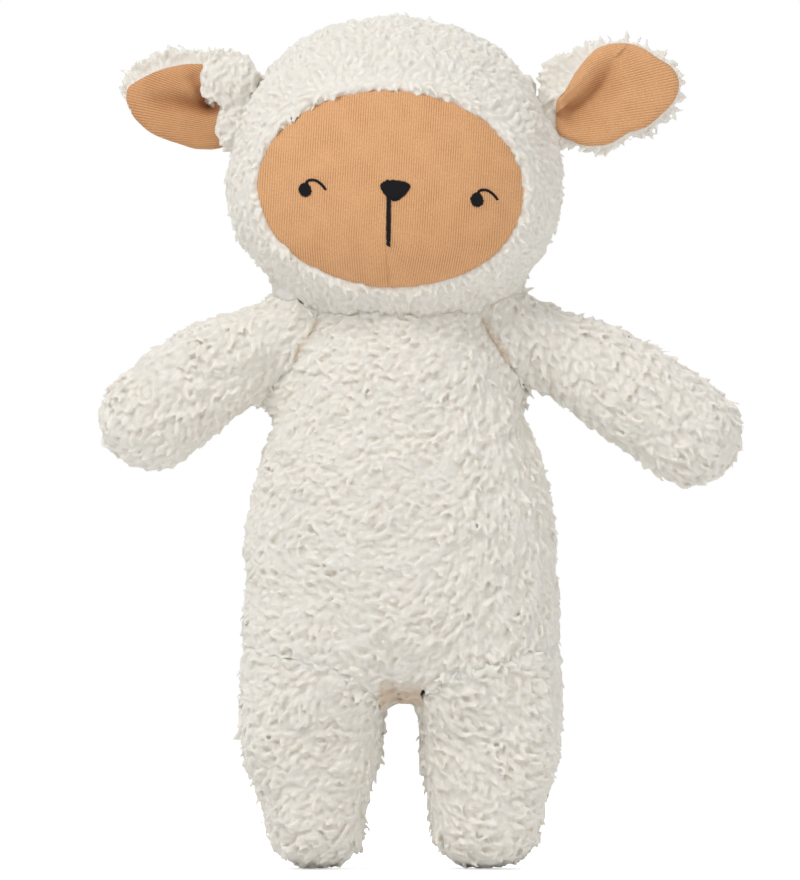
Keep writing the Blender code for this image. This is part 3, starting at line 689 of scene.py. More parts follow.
def face_distance(points):
    """How far each point of the head's front lies outside the face opening, and far behind it elsewhere."""
    across = points[:, 0] - face_middle.x
    up = points[:, 2] - face_middle.z
    x = across * math.cos(head_lean) - up * math.sin(head_lean)
    z = across * math.sin(head_lean) + up * math.cos(head_lean)
    reach = np.hypot(x / (face_width / 2), z / (face_height / 2))
    return np.where(points[:, 1] < 0, (reach - 1) * (face_height / 2), 0.05)


def sink_of(part, points):
    """How deep the ground cloth lies at each point: less where the pile rises over the edge of the face."""
    depth = bpy.context.scene.sheep_pile.depth
    if part != "head":
        return np.full(len(points), depth)
    away = face_distance(points)
    raised_cloth = rim_depth + (depth - rim_depth) * np.clip((away - rim_reach) / rim_fade, 0, 1)
    return raised_cloth + rim_dive * np.clip((rim_reach - away) / (2 * rim_reach), 0, 1)


def outline_share(part):
    """The part's share of the sheep's outline, as a slab from its ground cloth down to its solid."""
    skin = outline["skin"]
    points, normals = points_of(skin), normals_of(skin)
    own, other = gap_to(points, part, seam_reach), closeness(points, part, seam_reach)
    ahead = other - own
    # Each share runs on under its neighbour's, further where the groove under them is deep. A leg
    # reaches further under the torso beside the crotch, so that no hole opens between the two
    aside = np.abs(points[:, 0] - sheep_middle)
    overlap = seam_overlap * (1 + ("leg" in part) * np.clip((aside - leg_overlap_from) / 0.003, 0, 1))
    mine = (own < seam_reach) & (ahead > -2 * overlap - np.clip(np.minimum(own, other), 0, 0.006))
    deep = sink_of(part, points) + seam_crease * np.clip(1 - ahead / 0.003, 0, 4)
    faces = [tuple(p.vertices) for p in skin.polygons if mine[list(p.vertices)].all()]
    used = sorted({corner for face in faces for corner in face})
    place = {corner: number for number, corner in enumerate(used)}
    front = [tuple(points[at] - normals[at] * deep[at]) for at in used]
    back = []
    for at in used:
        near, normal, _, _ = solids[part][0].find_nearest(Vector(points[at]))
        back.append(tuple(near - normal * slab_root))
    faces = [tuple(place[corner] for corner in face) for face in faces]
    count = len(used)
    sides = {(face[i - 1], face[i]) for face in faces for i in range(len(face))}
    walls = [(high, low, low + count, high + count) for low, high in sides if (high, low) not in sides]
    backs = [tuple(corner + count for corner in reversed(face)) for face in faces]
    return mesh_from("share", front + back, faces + backs + walls)


def stuffed_form(part):
    """The outer skin of a stuffed part, sunk under the sheep's outline to where the pile's ground cloth lies."""
    mesh = voxel_skin(solid_copy(body_parts[part][1]), 0.0025, 3)
    points, normals = points_of(mesh), normals_of(mesh)
    # Parts that are sewn together meet halfway
    near = closeness(points, part)
    points += normals * ((near / 2 + seam_press) * np.clip((0.006 - near) / 0.003, 0, 1))[:, None]
    sinks = sink_of(part, points)
    depths, outs = under_outline(points)
    set_points(mesh, points - outs * np.maximum(0.0, sinks - depths)[:, None])
    # The grooves at its seams are filled up to the outline
    return voxel_skin(remade([mesh, outline_share(part)]), 0.002, 3)


# The pile

# Each kind of lock: how steeply it starts and ends, how it turns aside, its length and width as shares
tuft_kinds = (
    (40, -24, 0, 60, 1.00, 1.00),
    (36, -22, 0, -70, 0.95, 1.10),
    (42, -16, -22, 85, 1.10, 0.90),
    (36, -28, 14, -35, 0.85, 1.15),
    (44, -10, 10, -95, 0.95, 0.85),
    (38, -20, -12, 30, 1.05, 1.00),
)
tuft_widths = (0.7, 1.0, 1.05, 1.0, 0.85, 0.55)
spike_kinds = (
    (50, -22, 0, 70, 1.00, 1.00),
    (46, -12, 0, -80, 1.05, 0.90),
    (54, -4, -25, 55, 0.90, 1.15),
    (48, 12, 20, -45, 0.80, 0.85),
)
spike_widths = (0.9, 1.0, 0.85, 0.55)
lock_sides = 6
lock_flatness = 0.5
lock_sunk = 0.35
lock_rise_share = 0.6
lock_end_share = 0.6
# The head's pile lies lower and has fewer spikes
head_calm = 1.6


def lock_mesh(name, kind, length, width, widths):
    """One curled lock, from a root under the cloth along +X to its tip: it rises fast and then lies down."""
    start, end, aside, turn, long, wide = kind
    levels = len(widths)
    step = length * long / levels
    place = Vector((0, 0, -width * lock_sunk))
    points, faces = [], []
    for level in range(levels):
        share = level / levels
        steep = math.radians(start + (end - start) * share ** lock_rise_share)
        heading = math.radians(aside + turn * share)
        ahead = Vector((math.cos(heading) * math.cos(steep), math.sin(heading) * math.cos(steep), math.sin(steep)))
        across = ahead.cross(Vector((0, 0, 1))).normalized()
        over = across.cross(ahead)
        half = width * wide * widths[level] / 2
        for side in range(lock_sides):
            angle = 2 * math.pi * side / lock_sides
            points.append(place + across * (half * math.cos(angle)) + over * (half * lock_flatness * math.sin(angle)))
        place = place + ahead * step * (1.0 if level < levels - 1 else lock_end_share)
    points.append(place)
    for level in range(levels - 1):
        for side in range(lock_sides):
            low, after = level * lock_sides + side, level * lock_sides + (side + 1) % lock_sides
            faces.append((low, after, after + lock_sides, low + lock_sides))
    last = (levels - 1) * lock_sides
    for side in range(lock_sides):
        faces.append((last + side, last + (side + 1) % lock_sides, len(points) - 1))
    faces.append(tuple(reversed(range(lock_sides))))
    return mesh_from(name, points, faces)


def pile_tree(locks):
    """Geometry Nodes that grow locks on a cloth, along its flow attribute."""
    tree, given = node_group("curled_pile", (
        ("Cloth", "Geometry", None), ("Spacing", "Float", 0.002), ("Lift", "Float", 0.3), ("Swirl", "Float", 1.0),
        ("Swirl Size", "Float", 0.02), ("Seed", "Int", 0), ("Finish", "Material", None)), "Pile")
    open_cloth = add_node(tree, NAMED, {"Name": "pile_edge"}, data_type="FLOAT")
    grows = add_node(tree, "FunctionNodeCompare", {"A": open_cloth, "B": 0.0},
                     data_type="FLOAT", operation="GREATER_THAN")
    roots = add_node(tree, "GeometryNodeDistributePointsOnFaces", {
        "Mesh": out(given, "Cloth"), "Distance Min": out(given, "Spacing"),
        "Density Max": 2.0e6, "Density Factor": grows, "Seed": out(given, "Seed"),
    }, distribute_method="POISSON")

    # The lay follows the flow, wanders over a few centimetres and clumps over a few millimetres
    flow = add_node(tree, NAMED, {"Name": "flow"}, data_type="FLOAT_VECTOR")
    upright = add_node(tree, ALIGN, {"Vector": out(roots, "Normal")}, axis="Z")
    laid = add_node(tree, ALIGN, {"Rotation": upright, "Vector": flow}, axis="X", pivot_axis="Z")
    place = add_node(tree, "GeometryNodeInputPosition")
    coarse = add_node(tree, MATH, {0: 1.0, 1: out(given, "Swirl Size")}, operation="DIVIDE")
    wander = add_node(tree, NOISE, {"Vector": place, "Scale": coarse, "Detail": 1.0})
    clump = add_node(tree, NOISE, {"Vector": place, "Scale": 170.0, "Detail": 0.0})
    wanders = add_node(tree, "ShaderNodeSeparateXYZ", {"Vector": out(wander, "Color")})
    clumps = add_node(tree, "ShaderNodeSeparateXYZ", {"Vector": out(clump, "Color")})
    turn = add_node(tree, MATH, {0: out(wanders, "X"), 1: 0.5}, operation="SUBTRACT")
    turn = add_node(tree, MATH, {0: turn, 1: 4.5}, operation="MULTIPLY")
    turn = add_node(tree, MATH, {0: turn, 1: out(given, "Swirl")}, operation="MULTIPLY")
    small = add_node(tree, MATH, {0: out(clumps, "X"), 1: 0.5}, operation="SUBTRACT")
    yaw = add_node(tree, MATH, {0: small, 1: 1.8, 2: turn}, operation="MULTIPLY_ADD")
    own_turn = add_node(tree, RANDOM, {"Min": -0.25, "Max": 0.25, "Seed": 11}, data_type="FLOAT")
    yaw = add_node(tree, MATH, {0: yaw, 1: own_turn}, operation="ADD")
    bunch = add_node(tree, MATH, {0: out(clumps, "Y"), 1: 0.5}, operation="SUBTRACT")
    bunch = add_node(tree, MATH, {0: bunch, 1: 5.0}, operation="MULTIPLY")
    own_lift = add_node(tree, RANDOM, {"Min": -0.8, "Max": 0.9, "Seed": 12}, data_type="FLOAT")
    lift = add_node(tree, MATH, {0: bunch, 1: own_lift}, operation="ADD")
    lift = add_node(tree, MATH, {0: lift, 1: out(given, "Lift")}, operation="MULTIPLY")
    lift = add_node(tree, MATH, {0: lift, 1: -1.0}, operation="MULTIPLY")
    roll = add_node(tree, RANDOM, {"Min": -0.6, "Max": 0.6, "Seed": 13}, data_type="FLOAT")
    bent = add_node(tree, "ShaderNodeCombineXYZ", {"X": roll, "Y": lift, "Z": yaw})
    bend = add_node(tree, "FunctionNodeEulerToRotation", {0: bent})
    posed = add_node(tree, "FunctionNodeRotateRotation", {"Rotation": laid, "Rotate By": bend}, rotation_space="LOCAL")

    size = add_node(tree, RANDOM, {"Min": 0.74, "Max": 1.18, "Seed": 14}, data_type="FLOAT")
    short = add_node(tree, NAMED, {"Name": "pile_size"}, data_type="FLOAT")
    scale = add_node(tree, MATH, {0: size, 1: short}, operation="MULTIPLY")
    shapes = add_node(tree, "GeometryNodeJoinGeometry")
    for lock in locks:
        shape = add_node(tree, OBJECT, {"Object": lock, "As Instance": True})
        tree.links.new(out(shape, "Geometry"), shapes.inputs[0])
    grown = add_node(tree, "GeometryNodeInstanceOnPoints", {
        "Points": out(roots, "Points"), "Instance": shapes, "Pick Instance": True, "Rotation": posed, "Scale": scale})
    # Each lock keeps which way lies across it, for its strands
    turned = add_node(tree, "GeometryNodeInputInstanceRotation")
    across = add_node(tree, "FunctionNodeRotateVector", {"Vector": (0, 1, 0), "Rotation": turned})
    strands = add_node(tree, "GeometryNodeStoreNamedAttribute", {
        "Geometry": grown, "Name": "across", "Value": across}, data_type="FLOAT_VECTOR", domain="INSTANCE")
    plain = add_node(tree, "GeometryNodeRealizeInstances", {0: strands})
    coated = add_node(tree, "GeometryNodeSetMaterial", {"Geometry": plain, "Material": out(given, "Finish")})
    add_node(tree, "NodeGroupOutput", {0: coated})
    return tree


def grow_pile(cloth, lengths, kinds, widths, spacing, lift):
    """Grow locks of some kinds on a cloth."""
    pile = bpy.context.scene.sheep_pile
    locks = []
    for number, kind in enumerate(kinds):
        name = "lock_%d" % number
        locks.append(bpy.data.objects.new(name, lock_mesh(name, kind, *lengths, widths)))
    mesh = through_nodes(cloth, pile_tree(locks), {
        "Spacing": spacing, "Lift": lift, "Swirl": pile.swirl, "Swirl Size": pile.swirl_size, "Seed": pile.seed,
        "Finish": material_of("sherpa_polyester_pile", sherpa_pile_material)})
    for lock in locks:
        bpy.data.objects.remove(lock)
    return mesh


def flow_of(part, points):
    """Which way the pile lies on a part, before it wanders."""
    flow = np.zeros_like(points)
    if part == "torso":
        right = np.clip(points[:, 0] / 0.05, 0, 1)
        flow[:, 0] = 0.35 * right - (1 - right)
        flow[:, 2] = -0.3 - 0.5 * right
    elif part == "head":
        away = points - np.array(face_middle)
        flow[:, 0], flow[:, 2] = away[:, 0], away[:, 2]
        flow /= np.linalg.norm(flow, axis=1)[:, None] + 1e-9
        flow[:, 2] -= 0.35
        flow[:, 1] = 0.3
        # At the edge of the face the pile hangs down over the jersey
        rim = np.clip((0.007 - face_distance(points)) / 0.004, 0, 1)[:, None]
        flow = flow * (1 - rim) + np.array((0, 0, -1)) * rim
    elif part.endswith("arm"):
        flow[:] = (0.7 * side_of(part), 0, -0.75)
    elif part.endswith("leg"):
        flow[:] = (0.9 * side_of(part), 0, -0.45)
    return flow


def dress(part):
    """Cover a stuffed part with cloth and pile."""
    cloth = stuffed_form(part)
    points = points_of(cloth)
    near = closeness(points, part)
    hidden = np.clip((under_outline(points)[0] - bpy.context.scene.sheep_pile.depth) / 0.003 - 0.5, 0, 1)
    hidden *= np.clip(2 - near / seam_band, 0, 1)
    ahead = closeness(points, part, outline_reach) - gap_to(points, part, outline_reach)
    # Painted shade along the seams, where another part lies near
    seam = np.clip(1 - near / seam_band, 0, 1) * np.clip(1 + ahead / 0.002, 0, 1)
    if part == "torso":
        # Painted shade in the crotch too
        aside = np.abs(points[:, 0] - sheep_middle)
        inside = np.clip((crotch_level - points[:, 2]) / 0.005, 0, 1) * np.clip((crotch_half - aside) / 0.003 + 1, 0, 1)
        seam = np.maximum(seam, crotch_shade * inside * (points[:, 1] < 0))
    edge = np.full(len(points), 0.05)
    size = 1 - 0.5 * hidden
    if part == "head":
        edge = face_distance(points) + 0.0008
        size *= np.clip(0.7 + edge / 0.04, 0, 0.9)
    # No pile grows where the cloth runs on under its neighbour
    edge = np.where(ahead < -0.001, -1.0, edge)
    cover_with_pile(part, cloth, flow_of(part, points), edge, size, seam, calm=head_calm if part == "head" else 1.0)


def cover_with_pile(part, cloth, flow, edge, size, seam, scale=1.0, fill=0.8, calm=1.0):
    """Grow tufts on a cloth, felt them into one fleece and hang it on its body."""
    pile = bpy.context.scene.sheep_pile
    body, nodes = body_parts[part]
    store(cloth, "pile_size", size)
    store(cloth, "flow", flow, "FLOAT_VECTOR")
    store(cloth, "pile_edge", edge)
    store(cloth, "seam", seam)
    tufts = grow_pile(cloth, (pile.length * scale, pile.width * scale), tuft_kinds, tuft_widths,
                      pile.spacing * scale, pile.lift / calm)
    spikes = grow_pile(cloth, (pile.spike_length * scale, pile.spike_width * scale), spike_kinds, spike_widths,
                       pile.spike_spacing * scale * calm, pile.lift * 1.3 / calm)
    # The tufts and the cloth are felted into one soft surface
    fleece = voxel_skin(remade([cloth, tufts, spikes]), pile.felting, 1)
    smooth = fleece.copy()
    relax(smooth, 12)
    height = ((points_of(fleece) - points_of(smooth)) * normals_of(smooth)).sum(1)
    store(fleece, "height", height * 1000)
    fleece = sampled(fleece, cloth, "seam", "FLOAT")
    fleece = sampled(fleece, tufts, "across", "FLOAT_VECTOR")
    # Nothing dips into the floor
    set_points(fleece, np.maximum(points_of(fleece), (-1, -1, 0.0004)))
    piece = add_piece(part + "_fleece", fleece, material_of("sherpa_polyester_pile", sherpa_pile_material))
    if part in hip_seams:
        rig.blend(piece, "body", body, *hip_seams[part])
    else:
        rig.ride(piece, body)
    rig.slot(piece, "pile")
    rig.replaces(piece, *nodes)
    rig.padded(piece, fill)
    return fleece


def sampled(mesh, source, name, kind):
    """The mesh with a value or a vector that each point takes from the nearest point of a source."""
    tree, given = node_group("nearest_values", (("Mesh", "Geometry", None), ("Source", "Object", None)), "Mesh")
    held = out(add_node(tree, OBJECT, {"Object": out(given, "Source")}), "Geometry")
    value = add_node(tree, NAMED, {"Name": name}, data_type=kind)
    nearest = add_node(tree, "GeometryNodeSampleNearest", {"Geometry": held}, domain="POINT")
    taken = add_node(tree, "GeometryNodeSampleIndex", {"Geometry": held, "Value": value, "Index": nearest},
                     data_type=kind, domain="POINT")
    stored = add_node(tree, "GeometryNodeStoreNamedAttribute",
                      {"Geometry": out(given, "Mesh"), "Name": name, "Value": taken}, data_type=kind, domain="POINT")
    add_node(tree, "NodeGroupOutput", {0: stored})
    holder = bpy.data.objects.new("holder", source)
    bpy.context.scene.collection.objects.link(holder)
    result = through_nodes(mesh, tree, {"Source": holder})
    bpy.data.objects.remove(holder)
    return result


# The face

# The chin dart starts this far under the face's middle and runs down at a slant, taking in some jersey
dart_drop = 0.0225
dart_aside = -0.0022
dart_slant = 0.1
dart_take = 0.0022
dart_depth = 0.0008
# How far the jersey runs on under the pile, and how deep it dives there
face_tuck = 0.0025
face_dive = 0.0045
points_per_rib = 4
rib_roundness = 0.7


def dart_line(z):
    """Where the chin dart runs across, at a height."""
    return face_middle.x + dart_aside + dart_slant * (face_middle.z - dart_drop - z)


def face_depth():
    """The knitted face's front, with its chin dart, as a function of the place across and up."""
    points = points_of(frame["nodes"]["face_panel"].data)
    middle = (points.min(0) + points.max(0)) / 2
    half = (points.max(0) - points.min(0)) / 2

    def terms(u, v):
        return np.stack([u ** i * v ** j for i in range(5) for j in range(5 - i)], axis=-1)

    fit = front_fit("face_panel", [
        (u, v, middle[0] + u * half[0], middle[2] + v * half[2])
        for u in np.linspace(-0.92, 0.92, 25) for v in np.linspace(-0.92, 0.92, 21) if u ** 2 + v ** 2 <= 0.9], terms)
    dart_top = face_middle.z - dart_drop

    def depth_at(x, z):
        panel = terms((np.asarray(x) - middle[0]) / half[0], (np.asarray(z) - middle[2]) / half[2]) @ fit
        fade = np.clip((dart_top - z) / 0.006, 0, 1)
        return panel + dart_depth * fade * np.exp(-((x - dart_line(z)) / 0.0006) ** 2)

    return depth_at


def on_face(across, up):
    """A place across and up on the leant face, in the row frame."""
    cosine, sine = math.cos(head_lean), math.sin(head_lean)
    return face_middle.x + across * cosine + up * sine, face_middle.z - across * sine + up * cosine


def rib_relief(counts):
    """How far the ribs stand out where so many ribs are counted."""
    return bpy.context.scene.sheep_knit.rib * np.abs(np.sin(math.pi * counts)) ** rib_roundness


def grid_faces(columns, rows, offset=0, flip=False):
    """Faces of a grid of points, rows running fastest."""
    faces = []
    for c in range(columns - 1):
        for r in range(rows - 1):
            a = offset + c * rows + r
            quad = (a, a + rows, a + rows + 1, a + 1)
            faces.append(quad[::-1] if flip else quad)
    return faces


def shell_from_grid(name, front, back, uvs, columns, rows):
    """A closed shell between a front and a back grid of points."""
    count = columns * rows
    faces = grid_faces(columns, rows) + grid_faces(columns, rows, count, True)
    rim = list(range(rows)) + [c * rows + rows - 1 for c in range(1, columns)]
    rim += [(columns - 1) * rows + r for r in range(rows - 2, -1, -1)] + [c * rows for c in range(columns - 2, 0, -1)]
    for low, high in zip(rim, rim[1:] + rim[:1]):
        faces.append((low, high, high + count, low + count))
    return mesh_from(name, np.concatenate((front, back)), faces, np.concatenate((uvs, uvs)))


def make_face():
    """The jersey panel with real ribs, tucked under the edge of the pile."""
    knit = bpy.context.scene.sheep_knit
    depth_at = face_depth()
    half_width, half_height = face_width / 2 + face_tuck, face_height / 2 + face_tuck
    columns = int(2 * half_width / knit.wale * points_per_rib)
    rows = 60
    front, uvs = [], []
    for column in range(columns + 1):
        across = -half_width + 2 * half_width * column / columns
        reach = half_height * math.sqrt(max(1e-4, 1 - (across / half_width) ** 2))
        ups = np.linspace(-reach, reach, rows)
        xs, zs = on_face(across, ups)
        taken = dart_take * np.clip((face_middle.z - dart_drop - zs) / 0.017, 0, 1)
        count = (across + taken * np.sign(xs - dart_line(zs))) / knit.wale
        edge = np.hypot(across / (face_width / 2), ups / (face_height / 2)) - 1
        dive = np.clip(edge * face_height / 2 / face_tuck + 0.2, 0, 1.2) ** 1.5 * face_dive
        front.extend(zip(xs, depth_at(xs, zs) - rib_relief(count) + dive, zs))
        uvs.extend(zip(count, ups * 1000))
    front, uvs = np.array(front), np.array(uvs)
    back = front + np.array((0, knit.thickness, 0))
    mesh = shell_from_grid("face_jersey", front, back, uvs, columns + 1, rows)
    store(mesh, "slack", np.zeros(len(mesh.vertices)))
    piece = add_piece("face_jersey", mesh, material_of("cotton_rib_jersey", rib_jersey_material))
    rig.ride(piece, "head")
    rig.replaces(piece, "face_panel")
    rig.slot(piece, "knit")
    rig.padded(piece, 0.9)
    return depth_at


# The embroidery

lash_drop = 0.0004
lash_width = 0.0013
nose_spread = 1.14
nose_shift = -0.0006
nose_drop = 0.0007
mouth_width = 0.0023
underlay_spread = 1.4
slope_step = 0.0004
thread_sides = 6
thread_levels = 7


def stitch_tree(thread):
    """Geometry Nodes that lay one thread along each stitch point, by its direction and its length."""
    tree, given = node_group("satin_stitches", (
        ("Stitches", "Geometry", None), ("Thread", "Float", 0.0005), ("Unevenness", "Float", 0.08),
        ("Seed", "Int", 0), ("Finish", "Material", None)), "Embroidery")
    along = add_node(tree, NAMED, {"Name": "along"}, data_type="FLOAT_VECTOR")
    outward = add_node(tree, NAMED, {"Name": "outward"}, data_type="FLOAT_VECTOR")
    reach = add_node(tree, NAMED, {"Name": "reach"}, data_type="FLOAT")
    laid = add_node(tree, ALIGN, {"Vector": along}, axis="X")
    laid = add_node(tree, ALIGN, {"Rotation": laid, "Vector": outward}, axis="Z", pivot_axis="X")
    low = add_node(tree, MATH, {0: 1.0, 1: out(given, "Unevenness")}, operation="SUBTRACT")
    high = add_node(tree, MATH, {0: 1.0, 1: out(given, "Unevenness")}, operation="ADD")
    own = add_node(tree, RANDOM, {"Min": low, "Max": high, "Seed": out(given, "Seed")}, data_type="FLOAT")
    length = add_node(tree, MATH, {0: reach, 1: own}, operation="MULTIPLY")
    scale = add_node(tree, "ShaderNodeCombineXYZ", {"X": length, "Y": out(given, "Thread"), "Z": out(given, "Thread")})
    shape = add_node(tree, OBJECT, {"Object": thread, "As Instance": True})
    points = add_node(tree, "GeometryNodeMeshToPoints", {"Mesh": out(given, "Stitches")})
    sewn = add_node(tree, "GeometryNodeInstanceOnPoints", {
        "Points": points, "Instance": out(shape, "Geometry"), "Rotation": laid, "Scale": scale})
    plain = add_node(tree, "GeometryNodeRealizeInstances", {0: sewn})
    coated = add_node(tree, "GeometryNodeSetMaterial", {"Geometry": plain, "Material": out(given, "Finish")})
    add_node(tree, "NodeGroupOutput", {0: coated})
    return tree


def thread_shape():
    """A thread of unit diameter and length along X, arched over its middle and pulled in at both ends."""
    sides, levels = thread_sides, thread_levels
    points, uvs, faces = [], [], []
    for level in range(levels):
        share = level / (levels - 1)
        x = share - 0.5
        fade = max(0.12, math.sqrt(max(0.0, 1 - (2 * x) ** 6)))
        arch = 0.55 * (1 - (2 * x) ** 4) - 0.25
        for side in range(sides):
            angle = 2 * math.pi * side / sides
            points.append((x, 0.5 * fade * math.cos(angle), arch + 0.5 * fade * math.sin(angle)))
            uvs.append((side / sides, share))
    for level in range(levels - 1):
        for side in range(sides):
            low, after = level * sides + side, level * sides + (side + 1) % sides
            faces.append((low, low + sides, after + sides, after))
    faces.append(tuple(range(sides)))
    faces.append(tuple(reversed(range((levels - 1) * sides, levels * sides))))
    mesh = mesh_from("thread", points, faces, uvs)
    outward_faces(mesh)
    mesh.shade_smooth()
    return mesh


def sew(name, stitches, depth_at, node, unevenness=0.06):
    """Sew stitches, each given by its middle, direction and length in the plane of the face, and its height."""
    thread = bpy.context.scene.sheep_thread
    rows = []
    for x, z, dx, dz, length, height in stitches:
        slope_x = (depth_at(x + slope_step, z) - depth_at(x - slope_step, z)) / (2 * slope_step)
        slope_z = (depth_at(x, z + slope_step) - depth_at(x, z - slope_step)) / (2 * slope_step)
        outward = Vector((slope_x, -1.0, slope_z)).normalized()
        along = Vector((dx, slope_x * dx + slope_z * dz, dz)).normalized()
        rows.append((*(Vector((x, depth_at(x, z), z)) + outward * height), *along, *outward, length))
    rows = np.array(rows)
    mesh = mesh_from(name, rows[:, :3], [])
    store(mesh, "along", rows[:, 3:6], "FLOAT_VECTOR")
    store(mesh, "outward", rows[:, 6:9], "FLOAT_VECTOR")
    store(mesh, "reach", rows[:, 9])
    shape = bpy.data.objects.new("thread", thread_shape())
    finish = material_of("rayon_embroidery_thread", rayon_thread_material)
    result = through_nodes(mesh, stitch_tree(shape), {
        "Thread": thread.diameter, "Unevenness": unevenness, "Seed": thread.seed, "Finish": finish})
    bpy.data.objects.remove(shape)
    piece = add_piece(name, result, finish)
    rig.ride(piece, "head")
    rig.replaces(piece, node)
    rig.slot(piece, "thread")


def satin_fill(inside, low, high, direction, pitch):
    """Stitches that fill an outline: lines along a direction, cut where the outline ends."""
    along = np.array((math.cos(direction), math.sin(direction)))
    across = np.array((-along[1], along[0]))
    centre = (np.array(low) + np.array(high)) / 2
    radius = np.linalg.norm(np.array(high) - np.array(low)) / 2
    stitches = []
    for offset in np.arange(-radius, radius, pitch):
        ways = np.linspace(-radius, radius, 161)
        line = centre + across * offset + along * ways[:, None]
        held = np.array([inside(p[0], p[1]) for p in line])
        if held.sum() < 3:
            continue
        first, last = ways[held][0], ways[held][-1]
        middle = centre + across * offset + along * (first + last) / 2
        stitches.append((middle[0], middle[1], along[0], along[1], last - first))
    return stitches


def outline_of(node):
    """A test for whether a place across and up lies in a CAD node's front outline, and the node's corners."""
    tree = search_tree(frame["nodes"][node].data)
    low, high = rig.box(node)
    return lambda x, z: front_hit(tree, x, z) is not None, (low.x, low.z), (high.x, high.z)


def path_stitches(path, width, pitch, slant):
    """Short stitches across a path, as on a satin-stitched line."""
    stitches = []
    lengths = [0.0]
    for low, high in zip(path, path[1:]):
        lengths.append(lengths[-1] + math.dist(low, high))
    for way in np.arange(0.0, lengths[-1], pitch):
        at = max(i for i in range(len(path) - 1) if lengths[i] <= way)
        share = (way - lengths[at]) / (lengths[at + 1] - lengths[at])
        x = path[at][0] + (path[at + 1][0] - path[at][0]) * share
        z = path[at][1] + (path[at + 1][1] - path[at][1]) * share
        heading = math.atan2(path[at + 1][1] - path[at][1], path[at + 1][0] - path[at][0]) + slant
        stitches.append((x, z, math.cos(heading), math.sin(heading), width))
    return stitches


def raised(stitches, height):
    """The stitches with a height over the knit."""
    return [(*stitch, height) for stitch in stitches]


def embroider(depth_at):
    """The eyes, lashes, nose and mouth; all but the lashes are laid over a layer of underlay stitches."""
    thread = bpy.context.scene.sheep_thread
    high, low = thread.diameter * 0.75, thread.diameter * 0.25

    def two_layers(inside, lowest, highest, under, over):
        """A filling over its underlay, each with its own direction in degrees."""
        wide = satin_fill(inside, lowest, highest, math.radians(under), thread.pitch * underlay_spread)
        return raised(wide, low) + raised(satin_fill(inside, lowest, highest, math.radians(over), thread.pitch), high)

    for side in ("left", "right"):
        sew(side + "_eye_stitches", two_layers(*outline_of(side + "_eye"), 80, 62), depth_at, side + "_eye")
        inside, lowest, highest = outline_of(side + "_lash")
        path = []
        for x in np.linspace(lowest[0] + 0.0002, highest[0] - 0.0002, 24):
            held = [z for z in np.linspace(lowest[1] - 0.001, highest[1] + 0.001, 60) if inside(x, z)]
            if held:
                path.append((x, sum(held) / len(held) - lash_drop))
        # The lash starts in the eye
        path.insert(0, (path[0][0] - 0.0005, path[0][1] - 0.0010))
        stitches = path_stitches(path, lash_width, thread.pitch, math.radians(70))
        sew(side + "_lash_stitches", raised(stitches, high * 0.8), depth_at, side + "_lash")
    nose_inside, lowest, highest = outline_of("nose")
    nose_middle = (lowest[0] + highest[0]) / 2

    def inside(x, z):
        """The nose's outline, which its stitches overrun at both sides."""
        return nose_inside(nose_middle + (x - nose_shift - nose_middle) / nose_spread, z + nose_drop)

    sew("nose_stitches", two_layers(inside, (lowest[0], lowest[1] - nose_drop), highest, 10, 93), depth_at, "nose")
    low_corner, high_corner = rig.box("mouth")
    middle = (low_corner.x + high_corner.x) / 2
    path = [(middle - 0.0004, high_corner.z + 0.001), (middle - 0.0006, low_corner.z - 0.0002)]
    stitches = path_stitches(path, mouth_width, thread.pitch, math.radians(58))
    # One stitch is left out near the end, as on the real mouth
    stitches = stitches[:-5] + stitches[-4:]
    sew("mouth_stitches", raised(stitches, high) + raised(stitches, low), depth_at, "mouth", 0.12)


# The ears

